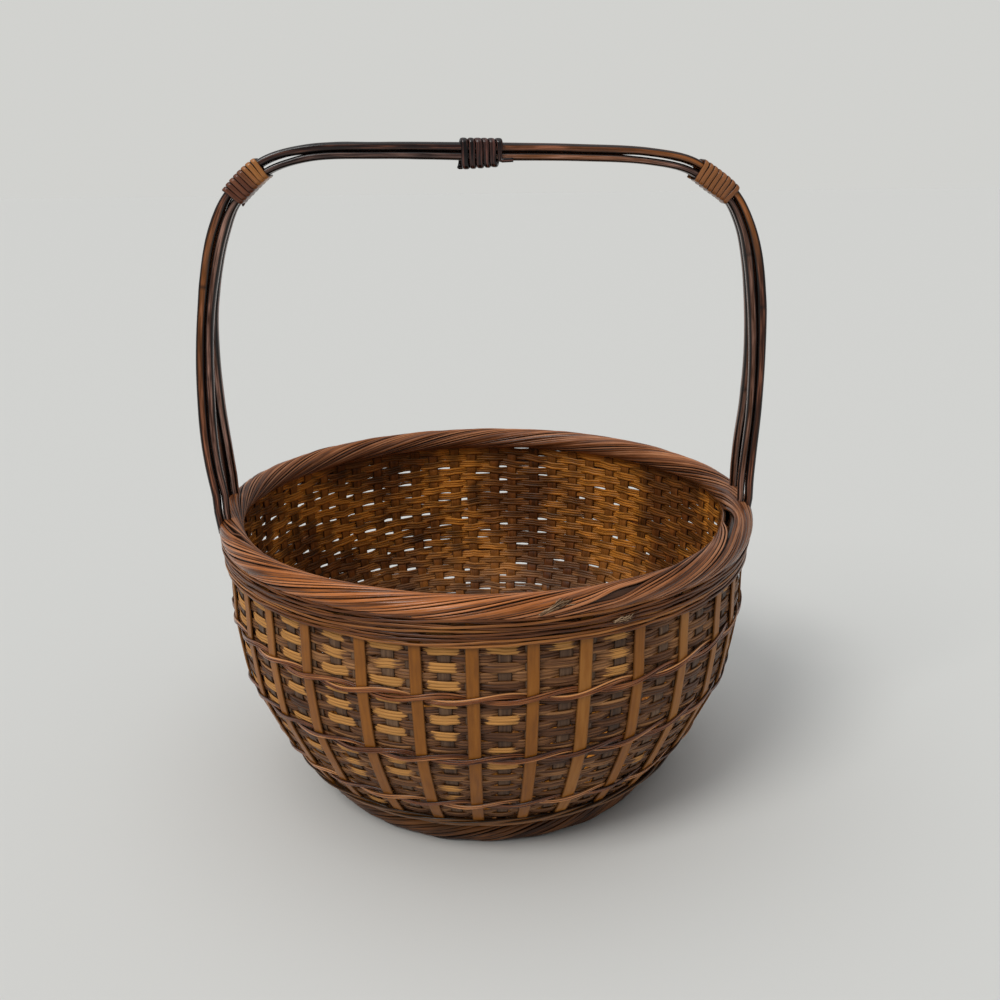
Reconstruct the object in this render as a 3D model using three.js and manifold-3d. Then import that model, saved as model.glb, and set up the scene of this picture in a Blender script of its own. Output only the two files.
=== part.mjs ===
// Gathering basket of split bamboo: a woven bowl under a lattice of flat strips,
// three twined bands, a collar, a rope-like rim, a foot ring and a bound hoop handle.
// Lengths are in millimetres, +Z is up and the front of the basket faces -Y.

import * as THREE from "three";
import Module from "manifold-3d";

// General
const CLEARANCE = 0.3;
const MERGE_DISTANCE = 0.001;
const STRIP_COUNT = 32;
const STRIP_PITCH = 2 * Math.PI / STRIP_COUNT;
const FIRST_STRIP_AZIMUTH = THREE.MathUtils.degToRad(-2.9);
const ROUND_STEP_COUNT = 2 * STRIP_COUNT;

// Rim bundle: a core hoop with twisted strands laid round it
const RIM_OUTER_RADIUS = 132.5;
const RIM_BUNDLE_RADIUS = 6.6;
const RIM_RADIUS = RIM_OUTER_RADIUS - RIM_BUNDLE_RADIUS;
const RIM_HEIGHT = 140.8;
const RIM_STRAND_COUNT = 6;
const RIM_STRAND_RADIUS = 2.0;
const RIM_STRAND_SIDE_COUNT = 5;
const RIM_LAY_RADIUS = RIM_BUNDLE_RADIUS - RIM_STRAND_RADIUS;
const RIM_CORE_RADIUS = RIM_LAY_RADIUS - RIM_STRAND_RADIUS - CLEARANCE;
const RIM_CORE_SIDE_COUNT = 6;
const RIM_STEP_COUNT = 48;
// Each strand starts where another one ends, so the lay shifts by two strands in a round.
const RIM_SHIFT_COUNT = 2;
const RIM_LAY_TURNS = 4 + RIM_SHIFT_COUNT / RIM_STRAND_COUNT;
// Steps of the round at which the strands start, spread along the back
const RIM_START_STEP_NUMBERS = [15, 19, 23, 26, 30, 33];

// Foot ring: a flat-bottomed hoop with two strands twisted round its outside
const HOOP_INNER_RADIUS = 75.9;
const HOOP_THICKNESS = 5.0;
const HOOP_HEIGHT = 8.0;
const HOOP_OUTER_RADIUS = HOOP_INNER_RADIUS + HOOP_THICKNESS;
const FOOT_STRAND_RADIUS = 1.8;
const FOOT_LAY_RADIUS = 2.0;
const FOOT_STRAND_SIDE_COUNT = 4;
const FOOT_TURN_COUNT = 8;
const FOOT_STEPS_PER_TURN_COUNT = 6;
const FOOT_REACH = FOOT_LAY_RADIUS + FOOT_STRAND_RADIUS;
const FOOT_RADIUS = HOOP_OUTER_RADIUS + CLEARANCE + FOOT_REACH;

// The base mat rests on the hoop inside the wall's flange
const MAT_SEAT = 1.5;
const MAT_RADIUS = HOOP_INNER_RADIUS + MAT_SEAT;
const FLANGE_SET_BACK = 0.9;
const FLANGE_OUTER_RADIUS = HOOP_OUTER_RADIUS - FLANGE_SET_BACK;

// The body is given by the strips' outer face, from the foot ring to the collar under the rim
const COLLAR_SEAT_STEP = 2.8;
const COLLAR_SEAT_RADIUS = RIM_RADIUS + COLLAR_SEAT_STEP;
const STRIP_TOP_DROP = 0.4;
const STRIP_TOP = RIM_HEIGHT - RIM_BUNDLE_RADIUS - STRIP_TOP_DROP;
const STRIP_FOOT_INSET = 2.5;
const STRIP_FOOT_RADIUS = FOOT_RADIUS - STRIP_FOOT_INSET;
const STRIP_FOOT_DROP = 0.6;
const STRIP_FOOT = HOOP_HEIGHT - STRIP_FOOT_DROP;
// Shares of the flare and of the height at the points that the curve passes through
const BODY_SHAPE = [[0, 0], [0.327, 0.079], [0.606, 0.223], [0.898, 0.468], [0.993, 0.714], [1, 0.902], [1, 1]];
// Point numbers of the curve, counted from its bottom, at which the solids have a section
const STRIP_STATION_NUMBERS = [0, 1, 2, 2.5, 3, 4, 6];
const WALL_STATION_NUMBERS = [0, 1, 2, 3, 4, 6];
const STRIP_WIDTH = 6.0;
const STRIP_THICKNESS = 1.0;

// Twined bands: two strands that cross between the strips and pass over and under them
const BAND_STATION_NUMBERS = { lower: 2, middle: 3, upper: 4 };
const BAND_THICKNESS = 1.1;
const BAND_STRAND_WIDTH = 1.8;
const BAND_SWING = 1.65;
const BAND_CROSSING = 1.6;
const STRIP_STAND_OFF = CLEARANCE + BAND_THICKNESS / 2 + BAND_SWING - STRIP_THICKNESS / 2;

// Woven wall and base mat
const WALL_THICKNESS = 2.2;
// Slits where the weave opens: in every other cell of a row, and half a cell on in the next row
const SLIT_LENGTH = 6.5;
const SLIT_HEIGHT = 2.2;
const SLIT_STATION_NUMBERS = [2.5, 3.5, 4.6];
const SLIT_CELL_COUNT = STRIP_COUNT / 2;
// Share of a strip pitch from a strip to the middle of the slit beside it
const SLIT_OFFSET = 0.25;

// Collar rows: the highest one ends a clearance under the rim bundle
const COLLAR_ROW_COUNT = 3;
const COLLAR_THICKNESS = 1.6;
const COLLAR_ROW_WIDTH = 4.0;
const COLLAR_ROW_PITCH = COLLAR_ROW_WIDTH + CLEARANCE;
const COLLAR_INNER_RADIUS = COLLAR_SEAT_RADIUS + CLEARANCE;
const COLLAR_DROP = Math.sqrt((RIM_BUNDLE_RADIUS + CLEARANCE) ** 2 - (COLLAR_INNER_RADIUS - RIM_RADIUS) ** 2);
const COLLAR_TOP = RIM_HEIGHT - COLLAR_DROP;
const COLLAR_LOWEST = COLLAR_TOP - COLLAR_ROW_WIDTH / 2 - (COLLAR_ROW_COUNT - 1) * COLLAR_ROW_PITCH;

// Handle feet: shoulders stand on the rim, tongues go down through it
const SHOULDER_RISE = 1.0;
const SHOULDER_TOP = RIM_HEIGHT + RIM_BUNDLE_RADIUS + SHOULDER_RISE;
const SHOULDER_DEPTH = 5.0;
const SHOULDER_BOTTOM = SHOULDER_TOP - SHOULDER_DEPTH;
const NOTCH_MARGIN = 0.8;
const NOTCH_BOTTOM = RIM_HEIGHT - RIM_BUNDLE_RADIUS - NOTCH_MARGIN;
const TONGUE_DEPTH = 9.5;
const TONGUE_END = NOTCH_BOTTOM - TONGUE_DEPTH;

// Handle canes: the middle of the outer cane bulges past the rim and rises above it
const ARCH_BULGE = 8.1;
const ARCH_HALF_WIDTH = RIM_RADIUS + ARCH_BULGE;
const ARCH_RISE = 165.4;
// Shares of the half width and of the rise, and the spacing of the outer and inner cane.
// The left shoulder of the arch is rounder than the right one.
const ARCH_SHAPE = {
  left: [
    [0, 1, 4.6], [0.336, 1.004, 4.0], [0.584, 1, 4.2], [0.736, 0.969, 4.7], [0.82, 0.918, 4.5],
    [0.884, 0.862, 4.8], [0.934, 0.784, 5.6], [0.969, 0.688, 5.5], [0.993, 0.556, 4.6],
    [1.006, 0.417, 4.8], [1.004, 0.272, 4.8], [0.993, 0.145, 4.3], [0.99, 0.042, 4.0]],
  right: [
    [0, 1, 4.6], [0.336, 0.993, 4.1], [0.581, 0.981, 4.1], [0.729, 0.956, 4.2], [0.816, 0.913, 4.1],
    [0.889, 0.865, 3.9], [0.944, 0.787, 4.4], [0.983, 0.69, 5.5], [1.004, 0.556, 5.5],
    [1.006, 0.417, 4.5], [0.998, 0.272, 3.9], [0.985, 0.145, 3.9], [0.981, 0.042, 3.9]],
};
const ARCH_SEGMENT_COUNTS = [1, 2, 2, 2, 2, 2, 1, 1, 1, 1, 1, 1];
const CANE_WIDTH = 5.4;
const CANE_THICKNESS = { outer: 4.0, inner: 3.1 };
const MEAN_CANE_THICKNESS = (CANE_THICKNESS.outer + CANE_THICKNESS.inner) / 2;
const CANE_CHAMFER = 1.0;
const CANE_SIDE_GAP = 0.4;
const CANE_TOP_OFFSET = (CANE_WIDTH + CANE_SIDE_GAP) / 2;
const SPLAY_RISE = 112.0;
const SPLAY_POWER = 1.4;
const LEAN_START = 0.75;
const LEAN_POWER = 3;
const FOOT_AZIMUTH = { left_front: -76.2, left_back: -92.6, right_front: 80.8, right_back: 91.6 };
const TONGUE_WIDTH = 5.0;
const TONGUE_THICKNESS = { outer: 1.1, inner: 1.4 };
const SHOULDER_STEP = { outer: 4.8, inner: 2.45 };
const TONGUE_SET_BACK = 0.7;
// The outer tongue leans in with the strips by this much at its end
const TONGUE_LEAN = { outer: 0.3, inner: 0 };

// Bindings of the handle
const BINDING_LOOP_COUNT = 8;
const BINDING_PITCH = 2.5;
const BINDING_WIDTH = 1.45;
const BINDING_THICKNESS = 0.8;
const BINDING_INSET = { left: 25.0, right: 23.8 };
const KNOT_LOOP_COUNT = 6;
const KNOT_PITCH = 3.2;
const KNOT_RADIUS = 1.2;
const KNOT_CENTRE = 0.8;
const KNOT_SIDE_COUNT = 6;
const KNOT_OPEN_STEP_COUNT = 3;
const KNOT_TAIL = new THREE.Vector3(5.6, 0, -2.4);
const LOOP_STEP_COUNT = 12;
const LEAST_WINDING_GAP = 0.4;
const DENSE_STEP_COUNT = 4;

const wasm = await Module();
wasm.setup();

// Materials, one look for each kind of bamboo in the basket
function bamboo(color, roughness) {
  return () => new THREE.MeshStandardMaterial({ color, roughness, metalness: 0 });
}

const wovenBamboo = bamboo(0x4a2a1c, 0.45);
const stripBamboo = bamboo(0x9a6b3f, 0.5);
const bandBamboo = bamboo(0x5f3222, 0.42);
const rimBamboo = bamboo(0x7d4c33, 0.42);
const footBamboo = bamboo(0x33201a, 0.5);
const handleBamboo = bamboo(0x4b2b1d, 0.35);
const bindingBamboo = bamboo(0x7b4e2c, 0.45);

// Point at a radius, an azimuth counted from the front towards +X, and a height
function polar(radius, azimuth, z) {
  return new THREE.Vector3(radius * Math.sin(azimuth), -radius * Math.cos(azimuth), z);
}

// Closed solid from rings of points; a ring that isn't joined to the first is capped
function solidFromRings(rings, joined) {
  const sides = rings[0].length;
  const count = rings.length;
  const positions = rings.flat().flatMap((p) => [p.x, p.y, p.z]);
  const index = [];
  const last = joined ? count : count - 1;
  for (let i = 0; i < last; i += 1) {
    const a = i * sides;
    const b = ((i + 1) % count) * sides;
    for (let k = 0; k < sides; k += 1) {
      const n = (k + 1) % sides;
      index.push(a + k, a + n, b + k);
      index.push(a + n, b + n, b + k);
    }
  }
  if (!joined) {
    const end = (count - 1) * sides;
    for (let k = 1; k < sides - 1; k += 1) {
      index.push(0, k + 1, k);
      index.push(end, end + k, end + k + 1);
    }
  }
  return faceOutwards(positions, index);
}

// Geometry whose faces point outwards, whichever way its rings ran
function faceOutwards(positions, index) {
  let volume = 0;
  const p = (i) => new THREE.Vector3(positions[3 * i], positions[3 * i + 1], positions[3 * i + 2]);
  for (let i = 0; i < index.length; i += 3) {
    volume += p(index[i]).dot(p(index[i + 1]).cross(p(index[i + 2])));
  }
  if (volume < 0) {
    index.reverse();
  }
  const geometry = new THREE.BufferGeometry();
  geometry.setAttribute("position", new THREE.Float32BufferAttribute(positions, 3));
  geometry.setIndex(index);
  geometry.computeVertexNormals();
  return geometry;
}

// Boolean difference of one geometry and a list of cutters
function cut(geometry, cutters) {
  const toSolid = (g) => new wasm.Manifold(new wasm.Mesh({
    numProp: 3,
    vertProperties: new Float32Array(g.attributes.position.array),
    triVerts: new Uint32Array(g.index.array),
  }));
  let solid = toSolid(geometry);
  for (const cutter of cutters) {
    solid = solid.subtract(toSolid(cutter));
  }
  const result = solid.getMesh();
  return faceOutwards(Array.from(result.vertProperties), Array.from(result.triVerts));
}

function node(name, geometry, material) {
  const mesh = new THREE.Mesh(geometry, material());
  mesh.name = name;
  return mesh;
}

// Section corners round a centre, from half sizes along two directions
function rectangle(centre, u, v, halfU, halfV) {
  return [[1, 1], [-1, 1], [-1, -1], [1, -1]].map(([a, b]) => centre.clone()
    .addScaledVector(u, a * halfU)
    .addScaledVector(v, b * halfV));
}

function roundSection(centre, u, v, radius, sides) {
  return Array.from({ length: sides }, (_, k) => {
    const angle = 2 * Math.PI * k / sides;
    return centre.clone()
      .addScaledVector(u, radius * Math.cos(angle))
      .addScaledVector(v, radius * Math.sin(angle));
  });
}

function chamferedSection(centre, u, v, halfU, halfV, chamfer) {
  const corners = [[1, 1], [-1, 1], [-1, -1], [1, -1]];
  return corners.flatMap(([a, b]) => {
    const alongU = centre.clone()
      .addScaledVector(u, a * (halfU - chamfer))
      .addScaledVector(v, b * halfV);
    const alongV = centre.clone()
      .addScaledVector(u, a * halfU)
      .addScaledVector(v, b * (halfV - chamfer));
    return a * b > 0 ? [alongV, alongU] : [alongU, alongV];
  });
}

// Body shape: a curve in the plane of radius and height, with its outward normal
const bodyCurve = new THREE.CatmullRomCurve3(BODY_SHAPE.map(([flare, rise]) => new THREE.Vector3(
  THREE.MathUtils.lerp(STRIP_FOOT_RADIUS, COLLAR_SEAT_RADIUS, flare),
  0,
  THREE.MathUtils.lerp(STRIP_FOOT, STRIP_TOP, rise),
)), false, "centripetal");

function bodyStation(number, depth) {
  const t = number / (BODY_SHAPE.length - 1);
  const point = bodyCurve.getPoint(t);
  const along = bodyCurve.getTangent(t);
  const normal = new THREE.Vector2(along.z, -along.x);
  return { radius: point.x - depth * normal.x, z: point.z - depth * normal.y, along, normal };
}

// Solid of revolution from a closed outline of radius and height
function turned(outline) {
  const rings = Array.from({ length: ROUND_STEP_COUNT }, (_, i) => {
    const azimuth = FIRST_STRIP_AZIMUTH + i * STRIP_PITCH / 2;
    return outline.map(([r, z]) => polar(r, azimuth, z));
  });
  return solidFromRings(rings, true);
}

// Woven wall: a thin bowl with slits that ends in a flat flange on the foot hoop
function wovenWall() {
  const outerDepth = STRIP_THICKNESS + STRIP_STAND_OFF;
  const outer = WALL_STATION_NUMBERS.map((number) => bodyStation(number, outerDepth));
  const inner = WALL_STATION_NUMBERS.map((number) => bodyStation(number, outerDepth + WALL_THICKNESS));
  const bottom = HOOP_HEIGHT + CLEARANCE;
  const edge = MAT_RADIUS + CLEARANCE;
  const outline = [
    [edge, bottom],
    [FLANGE_OUTER_RADIUS, bottom],
    ...outer.map((s) => [s.radius, s.z]),
    ...inner.reverse().map((s) => [s.radius, s.z]),
    [FLANGE_OUTER_RADIUS - WALL_THICKNESS / 2, bottom + WALL_THICKNESS],
    [edge, bottom + WALL_THICKNESS],
  ];
  return node("woven_wall", cut(turned(outline), wallSlits(outerDepth + WALL_THICKNESS / 2)), wovenBamboo);
}

// Cutters of the slits, each square to the wall and centred at a depth under the strips' outer face
function wallSlits(depth) {
  return SLIT_STATION_NUMBERS.flatMap((number, row) => {
    const station = bodyStation(number, depth);
    return Array.from({ length: SLIT_CELL_COUNT }, (_, i) => {
      const azimuth = FIRST_STRIP_AZIMUTH + STRIP_PITCH * (2 * i + row % 2 + SLIT_OFFSET);
      const side = new THREE.Vector3(Math.cos(azimuth), Math.sin(azimuth), 0);
      const outward = polar(station.normal.x, azimuth, station.normal.y);
      const upward = polar(station.along.x, azimuth, station.along.z);
      const rings = [-1, 1].map((end) => {
        const centre = polar(station.radius, azimuth, station.z)
          .addScaledVector(outward, end * WALL_THICKNESS);
        return rectangle(centre, side, upward, SLIT_LENGTH / 2, SLIT_HEIGHT / 2);
      });
      return solidFromRings(rings, false);
    });
  });
}

// Base mat: the flat woven floor inside the flange
function baseMat() {
  const bottom = HOOP_HEIGHT + CLEARANCE;
  const profile = [[0, bottom], [MAT_RADIUS, bottom], [MAT_RADIUS, bottom + WALL_THICKNESS],
    [0, bottom + WALL_THICKNESS]];
  const points = profile.map(([r, z]) => new THREE.Vector2(r, z));
  const geometry = new THREE.LatheGeometry(points, ROUND_STEP_COUNT, FIRST_STRIP_AZIMUTH);
  geometry.rotateX(Math.PI / 2);
  return node("base_mat", weldedLathe(geometry), wovenBamboo);
}

// Lathe geometry with its seam and its axis points merged
function weldedLathe(geometry) {
  const source = geometry.attributes.position;
  const keys = new Map();
  const positions = [];
  const remap = [];
  for (let i = 0; i < source.count; i += 1) {
    const p = [source.getX(i), source.getY(i), source.getZ(i)];
    const key = p.map((c) => Math.round(c / MERGE_DISTANCE)).join();
    if (!keys.has(key)) {
      keys.set(key, positions.length / 3);
      positions.push(...p);
    }
    remap.push(keys.get(key));
  }
  const index = [];
  for (let i = 0; i < geometry.index.count; i += 3) {
    const face = [0, 1, 2].map((k) => remap[geometry.index.getX(i + k)]);
    if (new Set(face).size === 3) {
      index.push(...face);
    }
  }
  return faceOutwards(positions, index);
}

// Overlay strip: a flat splint from behind the collar to the foot ring
function overlayStrip(number) {
  const azimuth = FIRST_STRIP_AZIMUTH + number * STRIP_PITCH;
  const side = new THREE.Vector3(Math.cos(azimuth), Math.sin(azimuth), 0);
  const rings = STRIP_STATION_NUMBERS.map((level) => {
    const station = bodyStation(level, STRIP_THICKNESS / 2);
    const centre = polar(station.radius, azimuth, station.z);
    const outward = polar(station.normal.x, azimuth, station.normal.y);
    return rectangle(centre, side, outward, STRIP_WIDTH / 2, STRIP_THICKNESS / 2);
  });
  const name = `overlay_strip_${String(number + 1).padStart(2, "0")}`;
  return node(name, solidFromRings(rings, false), stripBamboo);
}

// Band strand: outside one strip, across, behind the next one, and across again
function bandStrand(level, letter, phase) {
  const station = bodyStation(BAND_STATION_NUMBERS[level], STRIP_THICKNESS / 2);
  const rings = Array.from({ length: ROUND_STEP_COUNT }, (_, i) => {
    const azimuth = FIRST_STRIP_AZIMUTH + i * STRIP_PITCH / 2;
    const angle = phase + i * Math.PI / 2;
    const outward = polar(station.normal.x, azimuth, station.normal.y);
    const upward = polar(station.along.x, azimuth, station.along.z);
    const centre = polar(station.radius, azimuth, station.z)
      .addScaledVector(outward, BAND_SWING * Math.cos(angle))
      .addScaledVector(upward, BAND_CROSSING * Math.sin(angle));
    return rectangle(centre, outward, upward, BAND_THICKNESS / 2, BAND_STRAND_WIDTH / 2);
  });
  return node(`${level}_band_strand_${letter}`, solidFromRings(rings, true), bandBamboo);
}

// Collar row: fine twining that clamps the strip ends below the rim
function collarRow(number) {
  const z = COLLAR_LOWEST + number * COLLAR_ROW_PITCH;
  const inner = COLLAR_INNER_RADIUS;
  const outer = inner + COLLAR_THICKNESS;
  const half = COLLAR_ROW_WIDTH / 2;
  const bevel = COLLAR_THICKNESS / 4;
  const outline = [[inner, z - half], [outer, z - half + bevel], [outer, z + half - bevel], [inner, z + half]];
  return node(`collar_row_${number + 1}`, turned(outline), bandBamboo);
}

// Rim core: the hoop inside the rope-like rim
function rimCore(notches) {
  const up = new THREE.Vector3(0, 0, 1);
  const rings = Array.from({ length: RIM_STEP_COUNT }, (_, i) => {
    const azimuth = 2 * Math.PI * i / RIM_STEP_COUNT;
    const centre = polar(RIM_RADIUS, azimuth, RIM_HEIGHT);
    return roundSection(centre, polar(1, azimuth, 0), up, RIM_CORE_RADIUS, RIM_CORE_SIDE_COUNT);
  });
  return node("rim_core", cut(solidFromRings(rings, true), notches), rimBamboo);
}

// Rim strand: one round of the lay, from its own start to the start of the strand it meets
function rimStrand(number, notches) {
  const first = RIM_START_STEP_NUMBERS[number];
  const last = RIM_START_STEP_NUMBERS[(number + RIM_SHIFT_COUNT) % RIM_STRAND_COUNT] + RIM_STEP_COUNT;
  const rings = [];
  for (let step = first; step <= last; step += 1) {
    const butt = step === last ? CLEARANCE / RIM_RADIUS : 0;
    const azimuth = 2 * Math.PI * step / RIM_STEP_COUNT - butt;
    const lay = RIM_LAY_TURNS * azimuth + 2 * Math.PI * number / RIM_STRAND_COUNT;
    const centre = polar(RIM_RADIUS, azimuth, RIM_HEIGHT);
    rings.push(laidSection(centre, azimuth, lay, RIM_LAY_RADIUS, RIM_STRAND_RADIUS, RIM_STRAND_SIDE_COUNT));
  }
  return node(`rim_strand_${number + 1}`, cut(solidFromRings(rings, false), notches), rimBamboo);
}

// Section of a strand that lies round a hoop, at a lay angle counted from the outside upwards
function laidSection(hoopPoint, azimuth, lay, layRadius, radius, sides) {
  const radial = polar(1, azimuth, 0);
  const up = new THREE.Vector3(0, 0, 1);
  const away = radial.clone().multiplyScalar(Math.cos(lay)).addScaledVector(up, Math.sin(lay));
  const across = radial.clone().multiplyScalar(-Math.sin(lay)).addScaledVector(up, Math.cos(lay));
  const centre = hoopPoint.clone().addScaledVector(away, layRadius);
  return roundSection(centre, away, across, radius, sides);
}

// Foot hoop: the flat-bottomed ring that the basket stands on
function footHoop() {
  const outer = HOOP_OUTER_RADIUS;
  const outline = [[HOOP_INNER_RADIUS, 0], [outer, 0], [outer, HOOP_HEIGHT], [HOOP_INNER_RADIUS, HOOP_HEIGHT]];
  return node("foot_hoop", turned(outline), footBamboo);
}

// Foot strand: one of two strands twisted together round the outside of the hoop
function footStrand(letter, phase) {
  const steps = FOOT_TURN_COUNT * FOOT_STEPS_PER_TURN_COUNT;
  const rings = Array.from({ length: steps }, (_, i) => {
    const azimuth = 2 * Math.PI * i / steps;
    const centre = polar(FOOT_RADIUS, azimuth, HOOP_HEIGHT / 2);
    const lay = phase + FOOT_TURN_COUNT * azimuth;
    return laidSection(centre, azimuth, lay, FOOT_LAY_RADIUS, FOOT_STRAND_RADIUS, FOOT_STRAND_SIDE_COUNT);
  });
  return node(`foot_strand_${letter}`, solidFromRings(rings, true), footBamboo);
}

// Handle arch: a smooth curve through each half of the arch, holding x, height and cane spacing
function archCurve(side) {
  return new THREE.CatmullRomCurve3(ARCH_SHAPE[side].map(([width, rise, gap]) => (
    new THREE.Vector3(width * ARCH_HALF_WIDTH, gap, SHOULDER_TOP + rise * ARCH_RISE))), false, "centripetal");
}

const archCurves = { left: archCurve("left"), right: archCurve("right") };

function archPoint(side, t) {
  const point = archCurves[side].getPoint(t);
  const along = archCurves[side].getTangent(t);
  const length = Math.hypot(along.x, along.z);
  return { x: point.x, z: point.z, gap: point.y, nx: -along.z / length, nz: along.x / length };
}

// Arch parameters of one side, from its foot up to the middle of the top
function archParameters() {
  const spans = ARCH_SEGMENT_COUNTS.length;
  const list = [];
  for (let i = 0; i < spans; i += 1) {
    for (let k = 0; k < ARCH_SEGMENT_COUNTS[i]; k += 1) {
      list.push((i + k / ARCH_SEGMENT_COUNTS[i]) / spans);
    }
  }
  list.push(1);
  return list.reverse();
}

// Where each cane lies below the outer one, as a share of their spacing
const ARCH_SHARE = { outer: 0, inner: 1 };

// Tongue of each cane: the outer one lies between the wall and the strips, the inner one inside the wall
const WALL_TOP_RADIUS = COLLAR_SEAT_RADIUS - STRIP_THICKNESS - STRIP_STAND_OFF;
const TONGUE_RADIUS = {
  outer: WALL_TOP_RADIUS + STRIP_STAND_OFF / 2,
  inner: WALL_TOP_RADIUS - WALL_THICKNESS - TONGUE_SET_BACK - TONGUE_THICKNESS.inner / 2,
};
const SHOULDER_RADIUS = {
  outer: TONGUE_RADIUS.outer + SHOULDER_STEP.outer,
  inner: TONGUE_RADIUS.inner + SHOULDER_STEP.inner,
};

function smooth(low, high, value) {
  return THREE.MathUtils.smoothstep(value, low, high);
}

// Stations of one leg from the tongue's end to the middle of the top
function legStations(side, face, arch) {
  const sign = side === "left" ? -1 : 1;
  const azimuth = THREE.MathUtils.degToRad(FOOT_AZIMUTH[`${side}_${face}`]);
  const footSide = new THREE.Vector3(Math.cos(azimuth), Math.sin(azimuth), 0).multiplyScalar(sign);
  const topSide = new THREE.Vector3(0, 1, 0);
  const tongue = (z, lean) => ({
    centre: polar(TONGUE_RADIUS[arch] - lean, azimuth, z),
    side: footSide,
    halfWidth: TONGUE_WIDTH / 2,
    halfThickness: TONGUE_THICKNESS[arch] / 2,
  });
  const shoulder = {
    centre: polar(SHOULDER_RADIUS[arch], azimuth, SHOULDER_TOP),
    side: footSide,
    halfWidth: CANE_WIDTH / 2,
    halfThickness: CANE_THICKNESS[arch] / 2,
  };
  const stations = [
    tongue(TONGUE_END, TONGUE_LEAN[arch]),
    tongue(NOTCH_BOTTOM, 0),
    tongue(SHOULDER_BOTTOM, 0),
    shoulder,
  ];
  const topY = face === "front" ? -CANE_TOP_OFFSET : CANE_TOP_OFFSET;
  for (const t of archParameters()) {
    const p = archPoint(side, t);
    const share = ARCH_SHARE[arch];
    const x = p.x - p.nx * p.gap * share;
    const z = p.z - p.nz * p.gap * share;
    const fall = Math.max(0, 1 - (p.z - SHOULDER_TOP) / SPLAY_RISE);
    const settle = smooth(0, 1, fall);
    const footPoint = polar(SHOULDER_RADIUS[arch], azimuth, z);
    const y = THREE.MathUtils.lerp(topY, footPoint.y, Math.min(1, fall ** SPLAY_POWER));
    const leanIn = smooth(LEAN_START, 1, fall) ** LEAN_POWER;
    stations.push({
      centre: new THREE.Vector3(THREE.MathUtils.lerp(sign * x, footPoint.x, leanIn), y, z),
      side: topSide.clone().lerp(footSide, settle).normalize(),
      halfWidth: CANE_WIDTH / 2,
      halfThickness: CANE_THICKNESS[arch] / 2,
    });
  }
  return stations;
}

// Cane solid along its stations
function caneSolid(stations) {
  const chamfered = ({ centre, wide, thick, halfWidth, halfThickness }) => chamferedSection(
    centre, wide, thick, halfWidth, halfThickness, Math.min(CANE_CHAMFER, halfThickness / 2));
  return solidFromRings(squaredStations(stations).map(chamfered), false);
}

// Stations with their directions square to the run of the cane
function squaredStations(stations) {
  return stations.map((station, i) => {
    const before = stations[Math.max(0, i - 1)].centre;
    const after = stations[Math.min(stations.length - 1, i + 1)].centre;
    const along = after.clone().sub(before).normalize();
    const thick = along.clone().cross(station.side).normalize();
    const wide = thick.clone().cross(along).normalize();
    return { ...station, wide, thick };
  });
}

function caneStations(face, arch) {
  const left = legStations("left", face, arch);
  const right = legStations("right", face, arch);
  right.pop();
  return left.concat(right.reverse());
}

// Cutter for the rim: the lower end of one cane with square corners, a clearance larger all round
function footNotch(side, face, arch) {
  const stations = legStations(side, face, arch).slice(1, 5);
  const rings = squaredStations(stations).map(({ centre, wide, thick, halfWidth, halfThickness }) => (
    rectangle(centre, wide, thick, halfWidth + CLEARANCE, halfThickness + CLEARANCE)));
  return solidFromRings(rings, false);
}

function footNotches() {
  const notches = [];
  for (const side of ["left", "right"]) {
    for (const face of ["front", "back"]) {
      for (const arch of ["outer", "inner"]) {
        notches.push(footNotch(side, face, arch));
      }
    }
  }
  return notches;
}

// Middle line of the four canes on one half, with its length from the middle of the top
function measureMiddle(side) {
  const samples = [];
  const inset = (CANE_THICKNESS.inner - CANE_THICKNESS.outer) / 4;
  let length = 0;
  for (let i = 0; i <= MIDDLE_SAMPLE_COUNT; i += 1) {
    const p = archPoint(side, i / MIDDLE_SAMPLE_COUNT);
    const x = p.x - p.nx * (p.gap / 2 + inset);
    const z = p.z - p.nz * (p.gap / 2 + inset);
    const before = samples[samples.length - 1];
    length += before ? Math.hypot(x - before.x, z - before.z) : 0;
    samples.push({ x, z, gap: p.gap, nx: p.nx, nz: p.nz, length, archX: p.x });
  }
  return samples;
}

const MIDDLE_SAMPLE_COUNT = 400;
const middleSamples = { left: measureMiddle("left"), right: measureMiddle("right") };

// Point and directions of the middle line at a signed length, positive towards +X
function middleLine(signedLength) {
  const sign = signedLength < 0 ? -1 : 1;
  const samples = signedLength < 0 ? middleSamples.left : middleSamples.right;
  const length = Math.abs(signedLength);
  const next = Math.max(1, samples.findIndex((sample) => sample.length > length));
  const a = samples[next - 1];
  const b = samples[next];
  const share = (length - a.length) / (b.length - a.length);
  const mix = (key) => THREE.MathUtils.lerp(a[key], b[key], share);
  return {
    centre: new THREE.Vector3(sign * mix("x"), 0, mix("z")),
    normal: new THREE.Vector3(sign * mix("nx"), 0, mix("nz")).normalize(),
    gap: mix("gap"),
  };
}

// One loop round the canes as arcs of the corners, in the directions across and outwards
function loopPoints(gap, halfThickness) {
  const halfY = CANE_TOP_OFFSET + CANE_WIDTH / 2 - CANE_CHAMFER;
  const halfN = gap / 2 + MEAN_CANE_THICKNESS / 2 - CANE_CHAMFER;
  const reach = CANE_CHAMFER + CLEARANCE + halfThickness;
  const corners = [[1, -1], [1, 1], [-1, 1], [-1, -1]];
  return corners.flatMap(([a, b], quarter) => [-1, -0.5, 0].map((turn) => {
    const angle = (quarter + turn) * Math.PI / 2;
    const face = { y: Math.cos(angle), n: Math.sin(angle) };
    return { y: a * halfY + reach * face.y, n: b * halfN + reach * face.n, face };
  }));
}

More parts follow.
